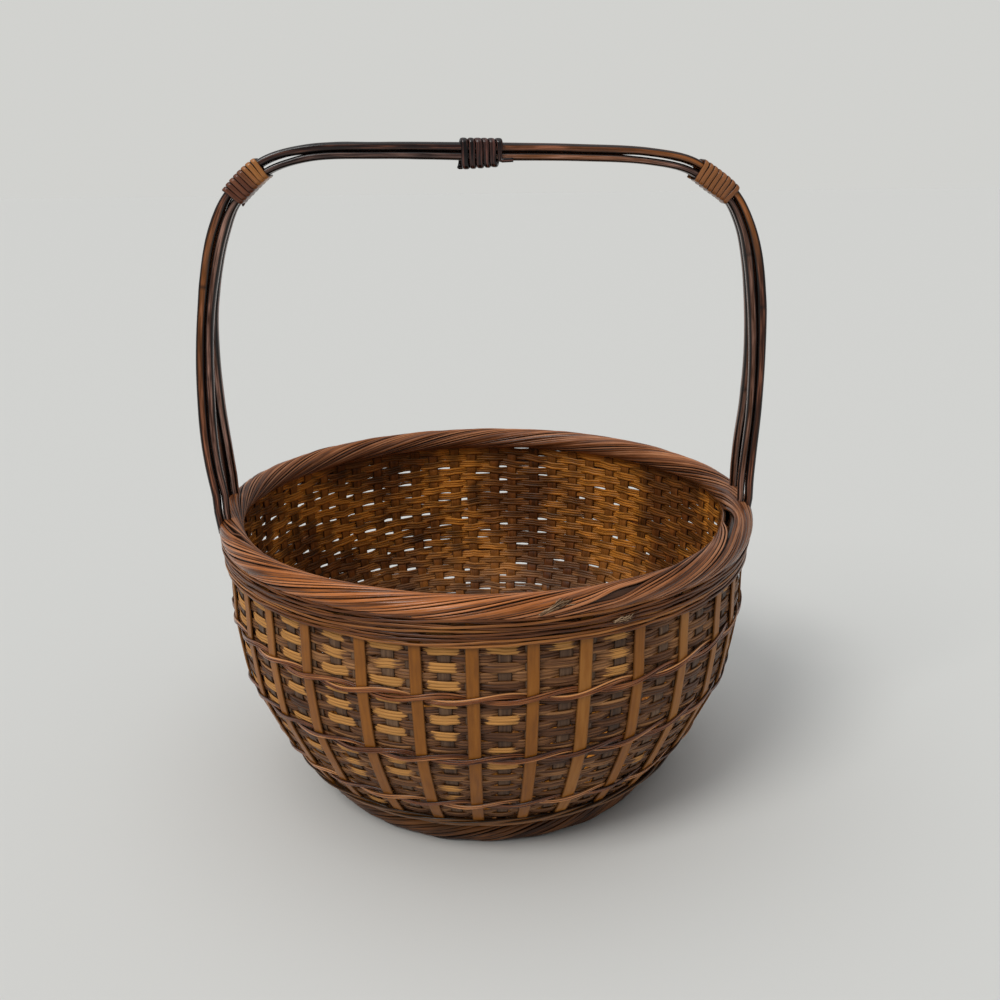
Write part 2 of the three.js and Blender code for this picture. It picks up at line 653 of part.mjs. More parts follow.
// Path of a winding: points and outward directions from one signed length, a pitch per loop
function windingPath(start, steps, pitch, halfThickness) {
  return Array.from({ length: steps + 1 }, (_, i) => {
    const line = middleLine(start + pitch * i / LOOP_STEP_COUNT);
    const p = loopPoints(line.gap, halfThickness)[i % LOOP_STEP_COUNT];
    const centre = line.centre.clone().addScaledVector(line.normal, p.n);
    centre.y += p.y;
    const away = line.normal.clone().multiplyScalar(p.face.n);
    away.y += p.face.y;
    return { centre, away };
  });
}

// The path with a straight run added at each end
function withStraightEnds(path, lead, tail) {
  const first = path[0].centre.clone().sub(path[1].centre.clone().sub(path[0].centre).setLength(lead));
  const last = path[path.length - 1];
  const end = last.centre.clone().add(tail);
  return [{ centre: first, away: path[0].away }, ...path, { centre: end, away: last.away }];
}

// Sections square to the path, each made from its centre and its outward and sideways directions
function sectionsAlong(path, section) {
  return path.map((stop, i) => {
    const before = path[Math.max(0, i - 1)].centre;
    const after = path[Math.min(path.length - 1, i + 1)].centre;
    const along = after.clone().sub(before).normalize();
    const sideways = along.clone().cross(stop.away).normalize();
    const outward = sideways.clone().cross(along).normalize();
    return section(stop.centre, outward, sideways);
  });
}

// Sections and the ones between them, for measuring
function denseSections(rings) {
  return rings.slice(1).flatMap((ring, i) => Array.from({ length: DENSE_STEP_COUNT }, (_, step) => (
    edgePoints(rings[i]).map((p, k) => p.lerp(edgePoints(ring)[k], step / DENSE_STEP_COUNT)))));
}

// Corners and middles of the sides of one section
function edgePoints(ring) {
  return ring.flatMap((p, k) => [p.clone(), p.clone().lerp(ring[(k + 1) % ring.length], 0.5)]);
}

// Least gap between neighbouring loops, measured on points of the sections and printed
function reportGap(name, rings) {
  const dense = denseSections(rings);
  const nearest = DENSE_STEP_COUNT * LOOP_STEP_COUNT * 0.75;
  const furthest = DENSE_STEP_COUNT * LOOP_STEP_COUNT * 1.25;
  let least = Infinity;
  for (let i = 0; i < dense.length; i += 1) {
    for (let j = i + nearest; j <= Math.min(dense.length - 1, i + furthest); j += 1) {
      for (const p of dense[i]) {
        for (const q of dense[j]) {
          least = Math.min(least, p.distanceTo(q));
        }
      }
    }
  }
  const verdict = least > LEAST_WINDING_GAP ? "clear" : "too close";
  console.log(`${name}: least gap between its loops ${least.toFixed(2)} mm, ${verdict}`);
}

// Corner binding: a flat strip wound round all four canes where the arch turns down
function cornerBinding(side) {
  const sign = side === "left" ? -1 : 1;
  const centreX = ARCH_HALF_WIDTH - BINDING_INSET[side];
  const corner = middleSamples[side].find((sample) => sample.archX >= centreX).length;
  const start = sign * corner - BINDING_LOOP_COUNT * BINDING_PITCH / 2;
  const half = BINDING_THICKNESS / 2;
  const path = windingPath(start, BINDING_LOOP_COUNT * LOOP_STEP_COUNT, BINDING_PITCH, half);
  const finish = path[path.length - 1].centre.clone().sub(path[path.length - 2].centre);
  const straight = new THREE.Vector3(0, Math.sign(finish.y), 0).setLength(BINDING_WIDTH);
  const whole = withStraightEnds(path, BINDING_WIDTH, straight);
  const flat = (centre, outward, sideways) => rectangle(centre, outward, sideways, half, BINDING_WIDTH / 2);
  const rings = sectionsAlong(whole, flat);
  const name = `${side}_corner_binding`;
  reportGap(name, rings);
  return node(name, solidFromRings(rings, false), bindingBamboo);
}

// Centre knot: a round cane wound over the middle of the top, with its end left free in front
function centreKnot() {
  const start = KNOT_CENTRE - KNOT_LOOP_COUNT * KNOT_PITCH / 2;
  const steps = KNOT_LOOP_COUNT * LOOP_STEP_COUNT - KNOT_OPEN_STEP_COUNT;
  const path = windingPath(start, steps, KNOT_PITCH, KNOT_RADIUS);
  const whole = withStraightEnds(path, 2 * KNOT_RADIUS, KNOT_TAIL);
  const round = (centre, outward, sideways) => roundSection(centre, outward, sideways, KNOT_RADIUS, KNOT_SIDE_COUNT);
  const rings = sectionsAlong(whole, round);
  reportGap("centre_knot", rings);
  return node("centre_knot", solidFromRings(rings, false), bindingBamboo);
}

const basket = new THREE.Group();
basket.name = "gathering_basket";
basket.add(wovenWall(), baseMat(), footHoop(), footStrand("a", 0), footStrand("b", Math.PI));
for (let i = 0; i < STRIP_COUNT; i += 1) {
  basket.add(overlayStrip(i));
}
for (const level of Object.keys(BAND_STATION_NUMBERS)) {
  basket.add(bandStrand(level, "a", 0), bandStrand(level, "b", Math.PI));
}
for (let i = 0; i < COLLAR_ROW_COUNT; i += 1) {
  basket.add(collarRow(i));
}
const notches = footNotches();
basket.add(rimCore(notches));
for (let i = 0; i < RIM_STRAND_COUNT; i += 1) {
  basket.add(rimStrand(i, notches));
}
for (const face of ["front", "back"]) {
  for (const arch of ["outer", "inner"]) {
    basket.add(node(`${face}_${arch}_cane`, caneSolid(caneStations(face, arch)), handleBamboo));
  }
}
basket.add(cornerBinding("left"), cornerBinding("right"), centreKnot());

export default basket;
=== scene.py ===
"""Gathering basket of split bamboo: woven bowl, overlay lattice, laid rim and bound hoop handle.

Sizes are in millimetres and become metres where a mesh is made. Azimuths are counted from the
front (-Y) towards +X. Every splint is a tube of sections along a path, worked out on whole arrays.
"""

import math

import bpy
import numpy as np
from mathutils import Matrix, Vector


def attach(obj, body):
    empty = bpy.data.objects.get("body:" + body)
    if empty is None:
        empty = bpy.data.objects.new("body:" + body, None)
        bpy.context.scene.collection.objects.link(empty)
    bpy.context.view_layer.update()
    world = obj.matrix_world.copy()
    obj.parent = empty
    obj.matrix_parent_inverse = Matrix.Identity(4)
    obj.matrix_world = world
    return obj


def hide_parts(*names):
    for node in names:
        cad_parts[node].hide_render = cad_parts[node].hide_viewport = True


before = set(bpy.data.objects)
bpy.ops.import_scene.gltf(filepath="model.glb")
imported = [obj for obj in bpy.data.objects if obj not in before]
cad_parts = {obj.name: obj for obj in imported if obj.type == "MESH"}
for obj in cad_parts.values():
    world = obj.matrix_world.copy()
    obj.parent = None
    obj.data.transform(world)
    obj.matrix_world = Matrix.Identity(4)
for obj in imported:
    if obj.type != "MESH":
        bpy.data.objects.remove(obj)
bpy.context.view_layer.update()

MM = 0.001
SEED = 11
TURN = 2 * math.pi
DOWN = np.array([0.0, 0.0, -1.0])

# Body
STRIPS = 32
STRIP_PITCH = TURN / STRIPS
FIRST_STRIP = math.radians(-2.9)
# How far the eleven strips in front stray from their even places, in degrees
FRONT_STRIPS = np.arange(-5, 6)
STRIP_STRAY = (0.6, -0.6, -0.8, 1.1, 0.9, 0.2, 0.1, -1.0, -0.7, 0.1, 1.2)
# Radius and height of the outer face. Stops along the body count these points.
BODY_PROFILE = [(82.5, 7.4), (97.6, 17.4), (110.5, 35.6), (124.0, 66.6), (128.4, 97.7), (128.7, 121.4),
                (128.7, 134.7)]
# The bowl's bulge: its share of the radius, the azimuth of its middle, and its reach
BODY_BULGE = (0.010, 1.35, 0.6)
STRIP_WIDTH = 5.6
STRIP_THICKNESS = 1.0
BAND_STATIONS = {"lower": 2, "middle": 3, "upper": 4}
BAND_SWING = 1.05
BAND_CROSSING = 1.70
BAND_WIDTH = 1.0
BAND_THICKNESS = 0.9
TWINING_STEPS = 12
WALL_DEPTH = 2.25
STAKES = 2 * STRIPS
STAKE_WIDTH = 6.0
STAKE_THICKNESS = 0.6
STAKE_SWAY = 0.3
WEAVER_PITCH = 4.15
WEAVER_THICKNESS = 0.62
WEAVER_SWING = 0.6
WEAVER_BIAS = 0.35
WEAVER_STEPS = 6
SPLINTS_PER_WEAVER = 3
# Collar rows: radius, height, how far the strands cross over each other
COLLAR_ROWS = ((129.6, 124.3, 1.4), (129.8, 128.9, 1.4), (130.7, 134.0, 1.9))

# Rim, foot and base
RIM_RADIUS = 125.9
RIM_HEIGHT = 140.8
RIM_TURNS = 4 + 1 / 3
RIM_LAY = 5.25
RIM_SAG = 2.7
# Further sag and swelling at the right, each told like the bulge
RIM_SIDE_SAG = (1.2, 0.85, 0.42)
RIM_SWELL = (1.7, 1.25, 0.40)
# Where the rim's splints part: azimuth, place round the hoop, reach and how far they are pushed
RIM_OPENINGS = ((math.radians(71), 2.0, 0.11, 0.34), (math.radians(24.7), 0.65, 0.07, 0.26),
                (math.radians(-66), 1.6, 0.09, 0.2))
FOOT_RADIUS = 85.0
FOOT_HEIGHT = 5.0
FOOT_TURNS = 6 + 1 / 3
FOOT_LAY = 2.75
FOOT_ROW_STATION = 1.21
BASE_HEIGHT = 9.4
BASE_RADIUS = 77.0
BASE_TURN_UP = 6.0
BASE_STEPS = 8
BASE_HOLE = 3.0
BASE_THICKNESS = 0.6

# Handle: x, height and the space between the outer and the inner cane
ARCH = {
    "left": [(0, 313.8, 4.6), (45, 314.4, 4.0), (78.2, 313.8, 4.2), (98.6, 308.7, 4.7), (109.9, 300.2, 4.5),
             (118.5, 291.0, 4.8), (125.1, 278.1, 5.6), (129.8, 262.2, 5.5), (133.1, 240.4, 4.6),
             (134.8, 217.4, 4.8), (134.5, 193.4, 4.8), (133.0, 172.4, 4.3), (132.6, 155.4, 4.0)],
    "right": [(0, 313.8, 4.6), (45, 312.6, 4.1), (77.8, 310.7, 4.1), (97.7, 306.6, 4.2), (109.4, 299.4, 4.1),
              (119.1, 291.4, 3.9), (126.5, 278.6, 4.4), (131.7, 262.5, 5.5), (134.5, 240.4, 5.5),
              (134.8, 217.4, 4.5), (133.7, 193.4, 3.9), (132.0, 172.4, 3.9), (131.4, 155.4, 3.9)],
}
CANE_WIDTH = 5.4
CANE_THICKNESS = {"outer": 4.0, "inner": 3.4}
CANE_OFFSET = 2.9
SPLAY_TOP = 260.4
SHOULDER_TOP = 148.4
SPLAY_POWER = 1.4
FOOT_AZIMUTH = {"left_front": -76.2, "left_back": -92.6, "right_front": 80.8, "right_back": 91.6}
FOOT_RADII = {"outer": 131.4, "inner": 127.4}
# Along the top, the two arches touch up to this distance from the middle
TOUCH_END = {"left": 84.0, "right": 68.0}
BINDING_LOOPS = 8
BINDING_PITCH = 2.5
BINDING_THICKNESS = 1.1
BINDING_BARREL = 0.35
BINDING_CENTRE_X = {"left": 109.0, "right": 110.2}
KNOT_LOOPS = 6
KNOT_PITCH = 3.2
KNOT_WIDTH = 3.1
KNOT_THICKNESS = 1.8
KNOT_CENTRE = 0.8
KNOT_SAG = (2.2, 0.7)
KNOT_TAIL = np.array([6.0, 0.0, 0.2])
STEPS_PER_LOOP = 32
# A winding round the canes: rounding of its corners, clearance, and an arc's share of a quarter
ROUNDING = 1.0
CLEARANCE = 0.1
ARC_SHARE = 0.75

rng = np.random.default_rng(SEED)


def wrapped(angle):
    """The same angle, from minus half a turn to half a turn."""
    return (angle + math.pi) % TURN - math.pi


def bump(x, reach):
    """One at nought and fading to nothing on both sides: e to the power of minus (x / reach) squared."""
    return np.exp(-((x / reach) ** 2))


def bell(azimuth, middle, reach):
    """A bump round the ring with its top at the middle azimuth."""
    return bump(wrapped(azimuth - middle), reach)


def unit(v):
    """Vectors made one long."""
    return v / np.maximum(np.linalg.norm(v, axis=-1, keepdims=True), 1e-9)


def smooth(low, high, x):
    """Rises from 0 at low to 1 at high by 3 t squared minus 2 t cubed, or falls where low is higher."""
    t = np.clip((x - low) / (high - low), 0, 1)
    return t * t * (3 - 2 * t)


def polar(radius, azimuth, z):
    """Points at a radius, an azimuth from the front and a height, all broadcast together.

    The bowl isn't quite round: higher up it bulges a little at the right.
    """
    radius, azimuth, z = np.broadcast_arrays(radius, azimuth, z)
    bulge, middle, reach = BODY_BULGE
    radius = radius * (1 + bulge * bell(azimuth, middle, reach) * smooth(30.0, 100.0, z))
    return np.stack([radius * np.sin(azimuth), -radius * np.cos(azimuth), z], -1)


def path_length(points):
    """Length along a path up to each of its points."""
    return np.concatenate([[0], np.cumsum(np.linalg.norm(np.diff(points, axis=0), axis=1))])


def curve_through(points, stops):
    """Centripetal Catmull-Rom curve: position and derivative at stops counted in control points.

    Each span is a cubic whose end slopes come from the neighbouring points, with spans weighted
    by the square root of their length. The end points are mirrored to get the missing neighbours.
    """
    p = np.asarray(points, float)
    p = np.vstack([2 * p[0] - p[1], p, 2 * p[-1] - p[-2]])
    span = np.clip(np.floor(stops).astype(int), 0, len(points) - 2)
    w = (np.asarray(stops) - span)[:, None]
    a, b, c, d = (p[span + k] for k in range(4))
    gap = [np.sqrt(np.linalg.norm(q - r, axis=1))[:, None] for q, r in ((b, a), (c, b), (d, c))]
    m1 = ((b - a) / gap[0] - (c - a) / (gap[0] + gap[1]) + (c - b) / gap[1]) * gap[1]
    m2 = ((c - b) / gap[1] - (d - b) / (gap[1] + gap[2]) + (d - c) / gap[2]) * gap[1]
    c2 = -3 * b + 3 * c - 2 * m1 - m2
    c3 = 2 * b - 2 * c + m1 + m2
    return b + m1 * w + c2 * w**2 + c3 * w**3, m1 + 2 * c2 * w + 3 * c3 * w**2


def body_at(stops, depth):
    """Radius and height of the body, a depth under its outer face, and its outward normal there."""
    point, slope = curve_through(BODY_PROFILE, np.atleast_1d(stops))
    slope = unit(slope)
    normal = np.stack([slope[:, 1], -slope[:, 0]], -1)
    return point - depth * normal, normal


def moved(point, normal, out, up=0.0):
    """Radius and height of a point of the body moved out along the normal and up along the slope."""
    return (point[..., 0] + out * normal[..., 0] - up * normal[..., 1],
            point[..., 1] + out * normal[..., 1] + up * normal[..., 0])


def wander(rows, count, scale, waves):
    """Slow random drift along each row: a sum of whole waves with random phases, so it closes on itself."""
    t = np.linspace(0, TURN, count, endpoint=False)
    total = np.zeros((rows, count))
    for wave in waves:
        phase = rng.uniform(0, TURN, (rows, 1))
        total += rng.normal(0, 1, (rows, 1)) * np.cos(wave * t + phase)
    return scale * total / math.sqrt(len(waves))


def front_sag(azimuth):
    """How far the rim hangs down along the front, most at the right, fading out towards the handle."""
    more, middle, reach = RIM_SIDE_SAG
    return RIM_SAG * smooth(0.0, 0.6, np.cos(azimuth)) + more * bell(azimuth, middle, reach)


def new_object(name, data):
    """An object with these data, linked into the scene."""
    obj = bpy.data.objects.new(name, data)
    bpy.context.scene.collection.objects.link(obj)
    return obj


def mesh_object(name, vertices, quads, caps, uv, attributes, material):
    """Object from arrays: quads and the two ends' cap faces, a UV per corner and values per point."""
    faces = [quads, *caps]
    loops = np.concatenate([face.reshape(-1) for face in faces]).astype(np.int32)
    sizes = np.concatenate([np.full(len(face), face.shape[1]) for face in faces]).astype(np.int32)
    starts = np.concatenate([[0], np.cumsum(sizes)[:-1]]).astype(np.int32)
    mesh = bpy.data.meshes.new(name)
    mesh.vertices.add(len(vertices))
    mesh.vertices.foreach_set("co", (vertices * MM).astype(np.float32).ravel())
    mesh.loops.add(len(loops))
    mesh.loops.foreach_set("vertex_index", loops)
    mesh.polygons.add(len(sizes))
    mesh.polygons.foreach_set("loop_start", starts)
    mesh.polygons.foreach_set("loop_total", sizes)
    mesh.update(calc_edges=True)
    mesh.validate()
    layer = mesh.uv_layers.new(name="UVMap")
    layer.data.foreach_set("uv", uv.astype(np.float32).ravel())
    for key, values in attributes.items():
        attribute = mesh.attributes.new(key, "FLOAT", "POINT")
        attribute.data.foreach_set("value", values.astype(np.float32).ravel())
    mesh.polygons.foreach_set("use_smooth", np.full(len(sizes), True))
    mesh.materials.append(material)
    return new_object(name, mesh)


def finished(obj, nodes, slot):
    """Puts a piece on the part's one body, in the place of its nodes; the slot is not used."""
    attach(obj, "root")
    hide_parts(*nodes)


def splints(name, nodes, look, centres, outwards, widths, thicks, closed, sides=8, squareness=4.0, roll=0.0,
            upright=False, **values):
    """One finished piece of many splints, each a tube of superellipse sections along its path.

    A section has half width w/2 along the side direction and half thickness t/2 along the outward
    one, with both coordinates raised to 2/squareness, so 2 is an ellipse and more is nearly square.
    The outward direction is made square to the path, which is a central difference of the centres.
    UV is in millimetres: along the path, and round the section. Values are given per path point.
    The edges that get painted shade are those of the width, or the four corners where a splint
    is upright.
    """
    strands, count = centres.shape[:2]
    if closed:
        along = unit(np.roll(centres, -1, 1) - np.roll(centres, 1, 1))
    else:
        along = unit(np.gradient(centres, axis=1))
    side = unit(np.cross(along, outwards))
    out = unit(np.cross(side, along))
    roll = np.broadcast_to(roll, (strands, count))[..., None]
    side, out = side * np.cos(roll) + out * np.sin(roll), out * np.cos(roll) - side * np.sin(roll)
    angle = TURN * (np.arange(sides) + 0.5) / sides
    power = 2 / squareness
    across = np.sign(np.cos(angle)) * np.abs(np.cos(angle)) ** power
    above = np.sign(np.sin(angle)) * np.abs(np.sin(angle)) ** power
    widths, thicks = (np.broadcast_to(v, (strands, count))[..., None, None] / 2 for v in (widths, thicks))
    vertices = centres[:, :, None] + widths * across[:, None] * side[:, :, None]
    vertices = vertices + thicks * above[:, None] * out[:, :, None]

    index = np.arange(strands * count * sides).reshape(strands, count, sides)
    beside = np.roll(index, -1, 2)
    last = count if closed else count - 1
    corners = ((index, 0), (index, 1), (beside, 1), (beside, 0))
    quads = np.stack([np.roll(points, -on, 1)[:, :last] for points, on in corners], -1).reshape(-1, 4)
    caps = [] if closed else [index[:, 0, :], index[:, -1, ::-1]]

    step = np.linalg.norm(np.roll(centres, -1, 1) - centres, axis=2)
    length = np.concatenate([np.zeros((strands, 1)), np.cumsum(step, 1)], 1)
    girth = 2 * (np.mean(widths) + np.mean(thicks)) * 2
    v = girth * np.arange(sides + 1) / sides
    u0, u1 = (np.broadcast_to(length[:, k:k + last, None], (strands, last, sides)) for k in (0, 1))
    v0, v1 = (np.broadcast_to(v[k:k + sides], (strands, last, sides)) for k in (0, 1))
    uv = np.stack([np.stack(corner, -1) for corner in ((u0, v0), (u1, v0), (u1, v1), (u0, v1))], -2)
    uv = np.vstack([uv.reshape(-1, 2)] + [np.zeros((cap.size, 2)) for cap in caps])

    corner = np.abs(above * across) / np.abs(above * across).max()
    attributes = {"edge": corner if upright else across**2, "outer": above * 0.5 + 0.5,
                  "tone": rng.uniform(0, 1, (strands, 1, 1))}
    for key in ("wear", "shade", "warm"):
        attributes[key] = np.broadcast_to(values.get(key, 0.0), (strands, count))[..., None]
    attributes = {key: np.broadcast_to(given, (strands, count, sides)) for key, given in attributes.items()}
    material, slot = look
    obj = mesh_object(name, vertices.reshape(-1, 3), quads, caps, uv, attributes, material)
    finished(obj, nodes, slot)


def plug(tree, node, inputs):
    """Fills a node's inputs, by name or in order, with numbers, colours or other nodes' outputs."""
    for key, source in inputs.items() if isinstance(inputs, dict) else enumerate(inputs):
        if isinstance(source, bpy.types.NodeSocket):
            tree.links.new(source, node.inputs[key])
        else:
            node.inputs[key].default_value = (*source, 1.0) if isinstance(source, tuple) else source


def new_node(tree, kind, inputs=(), **settings):
    """A shader node with its settings and inputs."""
    node = tree.nodes.new("ShaderNode" + kind)
    for key, value in settings.items():
        setattr(node, key, value)
    plug(tree, node, inputs)
    return node


def new_material(name):
    """A material with nodes, and its node tree."""
    material = bpy.data.materials.new(name)
    material.use_nodes = True
    return material, material.node_tree


def scaled(colour, share):
    """A colour times a share."""
    return tuple(c * share for c in colour)


def bamboo(name, slot, dark, mid, light, roughness, gloss, inside=None, worn_and_highlit=(0.5, 0.27, 0.075), warm=None,
           fibre=0.32, edge_shade_kept=0.55, edge_shade_from=0.58, spots=0.0, tones=0.22):
    """Look of lacquered split bamboo, which is a material and its slot.

    A fine noise, drawn out along the path, and a broad one are added to the splint's own tone and
    pick a colour between dark, mid and light. Wear shows bare golden bamboo where the wear value
    and the streaks together pass a limit, which leaves ragged ends; in places the wear value also
    stands in for painted highlights. The edge shade kept is how much of its colour a splint keeps
    in the painted shade at its edges, spots how much of it dark spots take off the inside, and
    tones how far the splints' own tones differ. The shade value darkens the colour as painted
    shade, and the lightest streaks of the warm colour are a painted highlight.
    """
    material, tree = new_material(name)
    tree.nodes.clear()

    def add(kind, inputs=(), output=0, **settings):
        return new_node(tree, kind, inputs, **settings).outputs[output]

    def value(attribute):
        return add("Attribute", output="Fac", attribute_name=attribute)

    def calc(operation, a, b):
        return add("Math", (a, b), operation=operation)

    def times(a, b):
        return calc("MULTIPLY", a, b)

    def plus(a, b):
        return calc("ADD", a, b)

    def ranged(x, low, high, to_low=0.0, to_high=1.0):
        return add("MapRange", (x, low, high, to_low, to_high), interpolation_type="SMOOTHSTEP")

    def mixed(share, a, b, blend="MIX"):
        return add("Mix", {0: share, 6: a, 7: b}, 2, data_type="RGBA", blend_type=blend)

    def noise(vector, scale, detail):
        return add("TexNoise", {"Vector": vector, "Scale": scale, "Detail": detail}, "Fac")

    def patches(scale, detail):
        return noise(add("TexCoord", output="Object"), scale, detail)

    u, v = new_node(tree, "SeparateXYZ", (add("UVMap", uv_map="UVMap"),)).outputs[:2]
    tone = value("tone")

    # Every splint has a tone of its own, which also takes it to another place in the streaks
    def streaks(along, across, detail):
        place = (times(u, 1 / along), times(v, 1 / across), times(tone, 61.0))
        return noise(add("CombineXYZ", place), 1.0, detail)

    def shaded(dark, mid, light):
        return mixed(high, mixed(low, dark, mid), light)

    fine = streaks(14.0, fibre, 3.0)
    broad = streaks(22.0, 1.6, 2.0)
    patch = patches(38.0, 3.0)
    level = plus(times(fine, 0.55), times(broad, 0.35))
    level = plus(level, times(calc("SUBTRACT", tone, 0.5), tones))
    level = plus(level, times(patch, 0.30))
    low = ranged(level, 0.31, 0.61)
    high = ranged(level, 0.55, 0.87)
    colour = shaded(dark, mid, light)
    if inside:
        bright = shaded(scaled(inside, 0.30), inside, scaled(inside, 1.25))
        floats = streaks(11.0, 2.4, 1.0)
        cover = patches(24.0, 2.0)
        ruddy = shaded((0.016, 0.004, 0.001), (0.15, 0.036, 0.008), (0.36, 0.12, 0.026))
        bright = mixed(times(ranged(cover, 0.56, 0.40), 0.75), bright, ruddy)
        spot = ranged(plus(times(floats, 0.6), times(cover, 0.6)), 0.50, 0.72)
        bright = mixed(times(calc("SUBTRACT", 1.0, spot), spots), bright, scaled(inside, 0.10))
        colour = mixed(ranged(value("outer"), 0.60, 0.40), colour, bright)
    if warm:
        # The lightest streaks of the warm colour are a painted highlight.
        bright = tuple(0.75 * c + 0.80 * d for c, d in zip(warm, light))
        colour = mixed(value("warm"), colour, shaded(scaled(warm, 0.25), warm, bright))
    ragged = plus(value("wear"), times(calc("SUBTRACT", fine, 0.5), 1.5))
    bare_and_highlit = times(ranged(ragged, 0.62, 0.78), ranged(value("outer"), 0.5, 0.7))
    colour = mixed(bare_and_highlit, colour, mixed(ranged(fine, 0.35, 0.7), scaled(worn_and_highlit, 0.62), worn_and_highlit))
    # Painted shade: a splint keeps less of its colour at its edges and where the shade value is high; bare
    # patches keep more.
    kept = calc("MAXIMUM", ranged(value("edge"), edge_shade_from, 1.0, 1.0, edge_shade_kept), times(bare_and_highlit, 0.92))
    darkening = times(kept, ranged(value("shade"), 0.0, 1.0, 1.0, 0.22))
    grey = add("CombineColor", (darkening,) * 3)
    surface = add("BsdfPrincipled", {
        "Base Color": mixed(1.0, colour, grey, "MULTIPLY"),
        "Roughness": plus(ranged(broad, 0.3, 0.7, roughness - 0.08, roughness + 0.10), times(bare_and_highlit, 0.14)),
        "Specular IOR Level": 0.22,
        "Coat Weight": times(calc("SUBTRACT", 1.0, bare_and_highlit), gloss),
        "Coat Roughness": 0.22,
        "Normal": add("Bump", {"Strength": 0.55, "Distance": 0.12 * MM,
                               "Height": plus(fine, times(broad, 0.8))}),
    })
    new_node(tree, "OutputMaterial", {"Surface": surface})
    return material, slot


wall_look = bamboo(
    "wall_bamboo", "woven_bamboo", (0.014, 0.005, 0.003), (0.122, 0.046, 0.016), (0.42, 0.195, 0.07),
    roughness=0.50, gloss=0.08, inside=(0.62, 0.228, 0.026), worn_and_highlit=(0.66, 0.31, 0.085),
    warm=(0.165, 0.088, 0.05), edge_shade_kept=0.35, spots=0.70)
stake_look = bamboo(
    "stake_bamboo", "woven_bamboo", (0.026, 0.011, 0.006), (0.098, 0.05, 0.026), (0.23, 0.13, 0.068),
    roughness=0.52, gloss=0.05, inside=(0.3, 0.104, 0.016), fibre=0.5, edge_shade_kept=0.35, spots=0.50)
fray_look = bamboo(
    "fray_bamboo", "rim_bamboo", (0.03, 0.014, 0.007), (0.17, 0.088, 0.042), (0.44, 0.29, 0.17),
    roughness=0.7, gloss=0.0, edge_shade_kept=0.2, tones=0.9)
strip_look = bamboo(
    "strip_bamboo", "strip_bamboo", (0.19, 0.062, 0.007), (0.28, 0.096, 0.01), (0.37, 0.148, 0.026),
    roughness=0.50, gloss=0.1, fibre=0.45)
band_look = bamboo(
    "band_bamboo", "band_bamboo", (0.044, 0.01, 0.003), (0.22, 0.06, 0.011), (0.68, 0.29, 0.095),
    roughness=0.28, gloss=0.30, edge_shade_kept=0.05, edge_shade_from=0.45, tones=0.38)
collar_look = bamboo(
    "collar_bamboo", "band_bamboo", (0.03, 0.007, 0.002), (0.175, 0.052, 0.009), (0.44, 0.17, 0.04),
    roughness=0.36, gloss=0.2, edge_shade_kept=0.10, tones=0.3)
rim_look = bamboo(
    "rim_bamboo", "rim_bamboo", (0.036, 0.011, 0.005), (0.2, 0.07, 0.026), (0.44, 0.2, 0.098),
    roughness=0.30, gloss=0.34, warm=(0.47, 0.132, 0.014), fibre=0.4, edge_shade_kept=0.03, edge_shade_from=0.40, tones=0.42)
foot_look = bamboo(
    "foot_bamboo", "foot_bamboo", (0.003, 0.001, 0.001), (0.036, 0.011, 0.004), (0.24, 0.088, 0.024),
    roughness=0.34, gloss=0.2, warm=(0.3, 0.11, 0.014), edge_shade_kept=0.03, edge_shade_from=0.40, tones=0.35)
cane_finish = {"roughness": 0.18, "gloss": 0.30, "fibre": 0.6, "warm": (0.35, 0.112, 0.016), "edge_shade_kept": 0.04,
               "edge_shade_from": 0.52, "tones": 0.14}
cane_looks = {
    "outer": bamboo("cane_bamboo", "handle_bamboo", (0.001, 0.0006, 0.0006), (0.026, 0.006, 0.004),
                    (0.48, 0.18, 0.1), **cane_finish),
    # The inner canes' pale grey-pink streaks are a painted sheen.
    "inner": bamboo("inner_cane_painted_sheen", "handle_bamboo", (0.002, 0.001, 0.001), (0.034, 0.013, 0.01),
                    (0.44, 0.24, 0.18), **cane_finish),
}
binding_look = bamboo(
    "binding_bamboo", "binding_bamboo", (0.032, 0.009, 0.005), (0.115, 0.034, 0.015), (0.27, 0.095, 0.04),
    roughness=0.36, gloss=0.25, warm=(0.42, 0.165, 0.04), edge_shade_kept=0.06, edge_shade_from=0.45)
# The knot is nearly black; its pale streaks are painted highlights.
knot_look = bamboo(
    "knot_bamboo", "binding_bamboo", (0.001, 0.0006, 0.0006), (0.005, 0.002, 0.002), (0.24, 0.09, 0.066),
    roughness=0.18, gloss=0.25, fibre=0.5, edge_shade_kept=0.03, edge_shade_from=0.45, tones=0.0)


def stake_azimuths():
    """Azimuth of each stake: one behind every strip and one a little right of the middle of each cell."""
    azimuth = FIRST_STRIP + np.arange(STAKES) * STRIP_PITCH / 2
    azimuth[1::2] += STRIP_PITCH * 0.05 + rng.normal(0, STRIP_PITCH * 0.025, STRIPS)
    return azimuth


def body_rows():
    """Stops of the weaver rows along the body profile, evenly spaced along its length."""
    stops = np.linspace(0, len(BODY_PROFILE) - 1, 600)
    point, _ = body_at(stops, WALL_DEPTH)
    length = path_length(point)
    rows = int(length[-1] // WEAVER_PITCH)
    return np.interp(length[-1] - WEAVER_PITCH * (np.arange(rows)[::-1] + 0.5), length, stops)


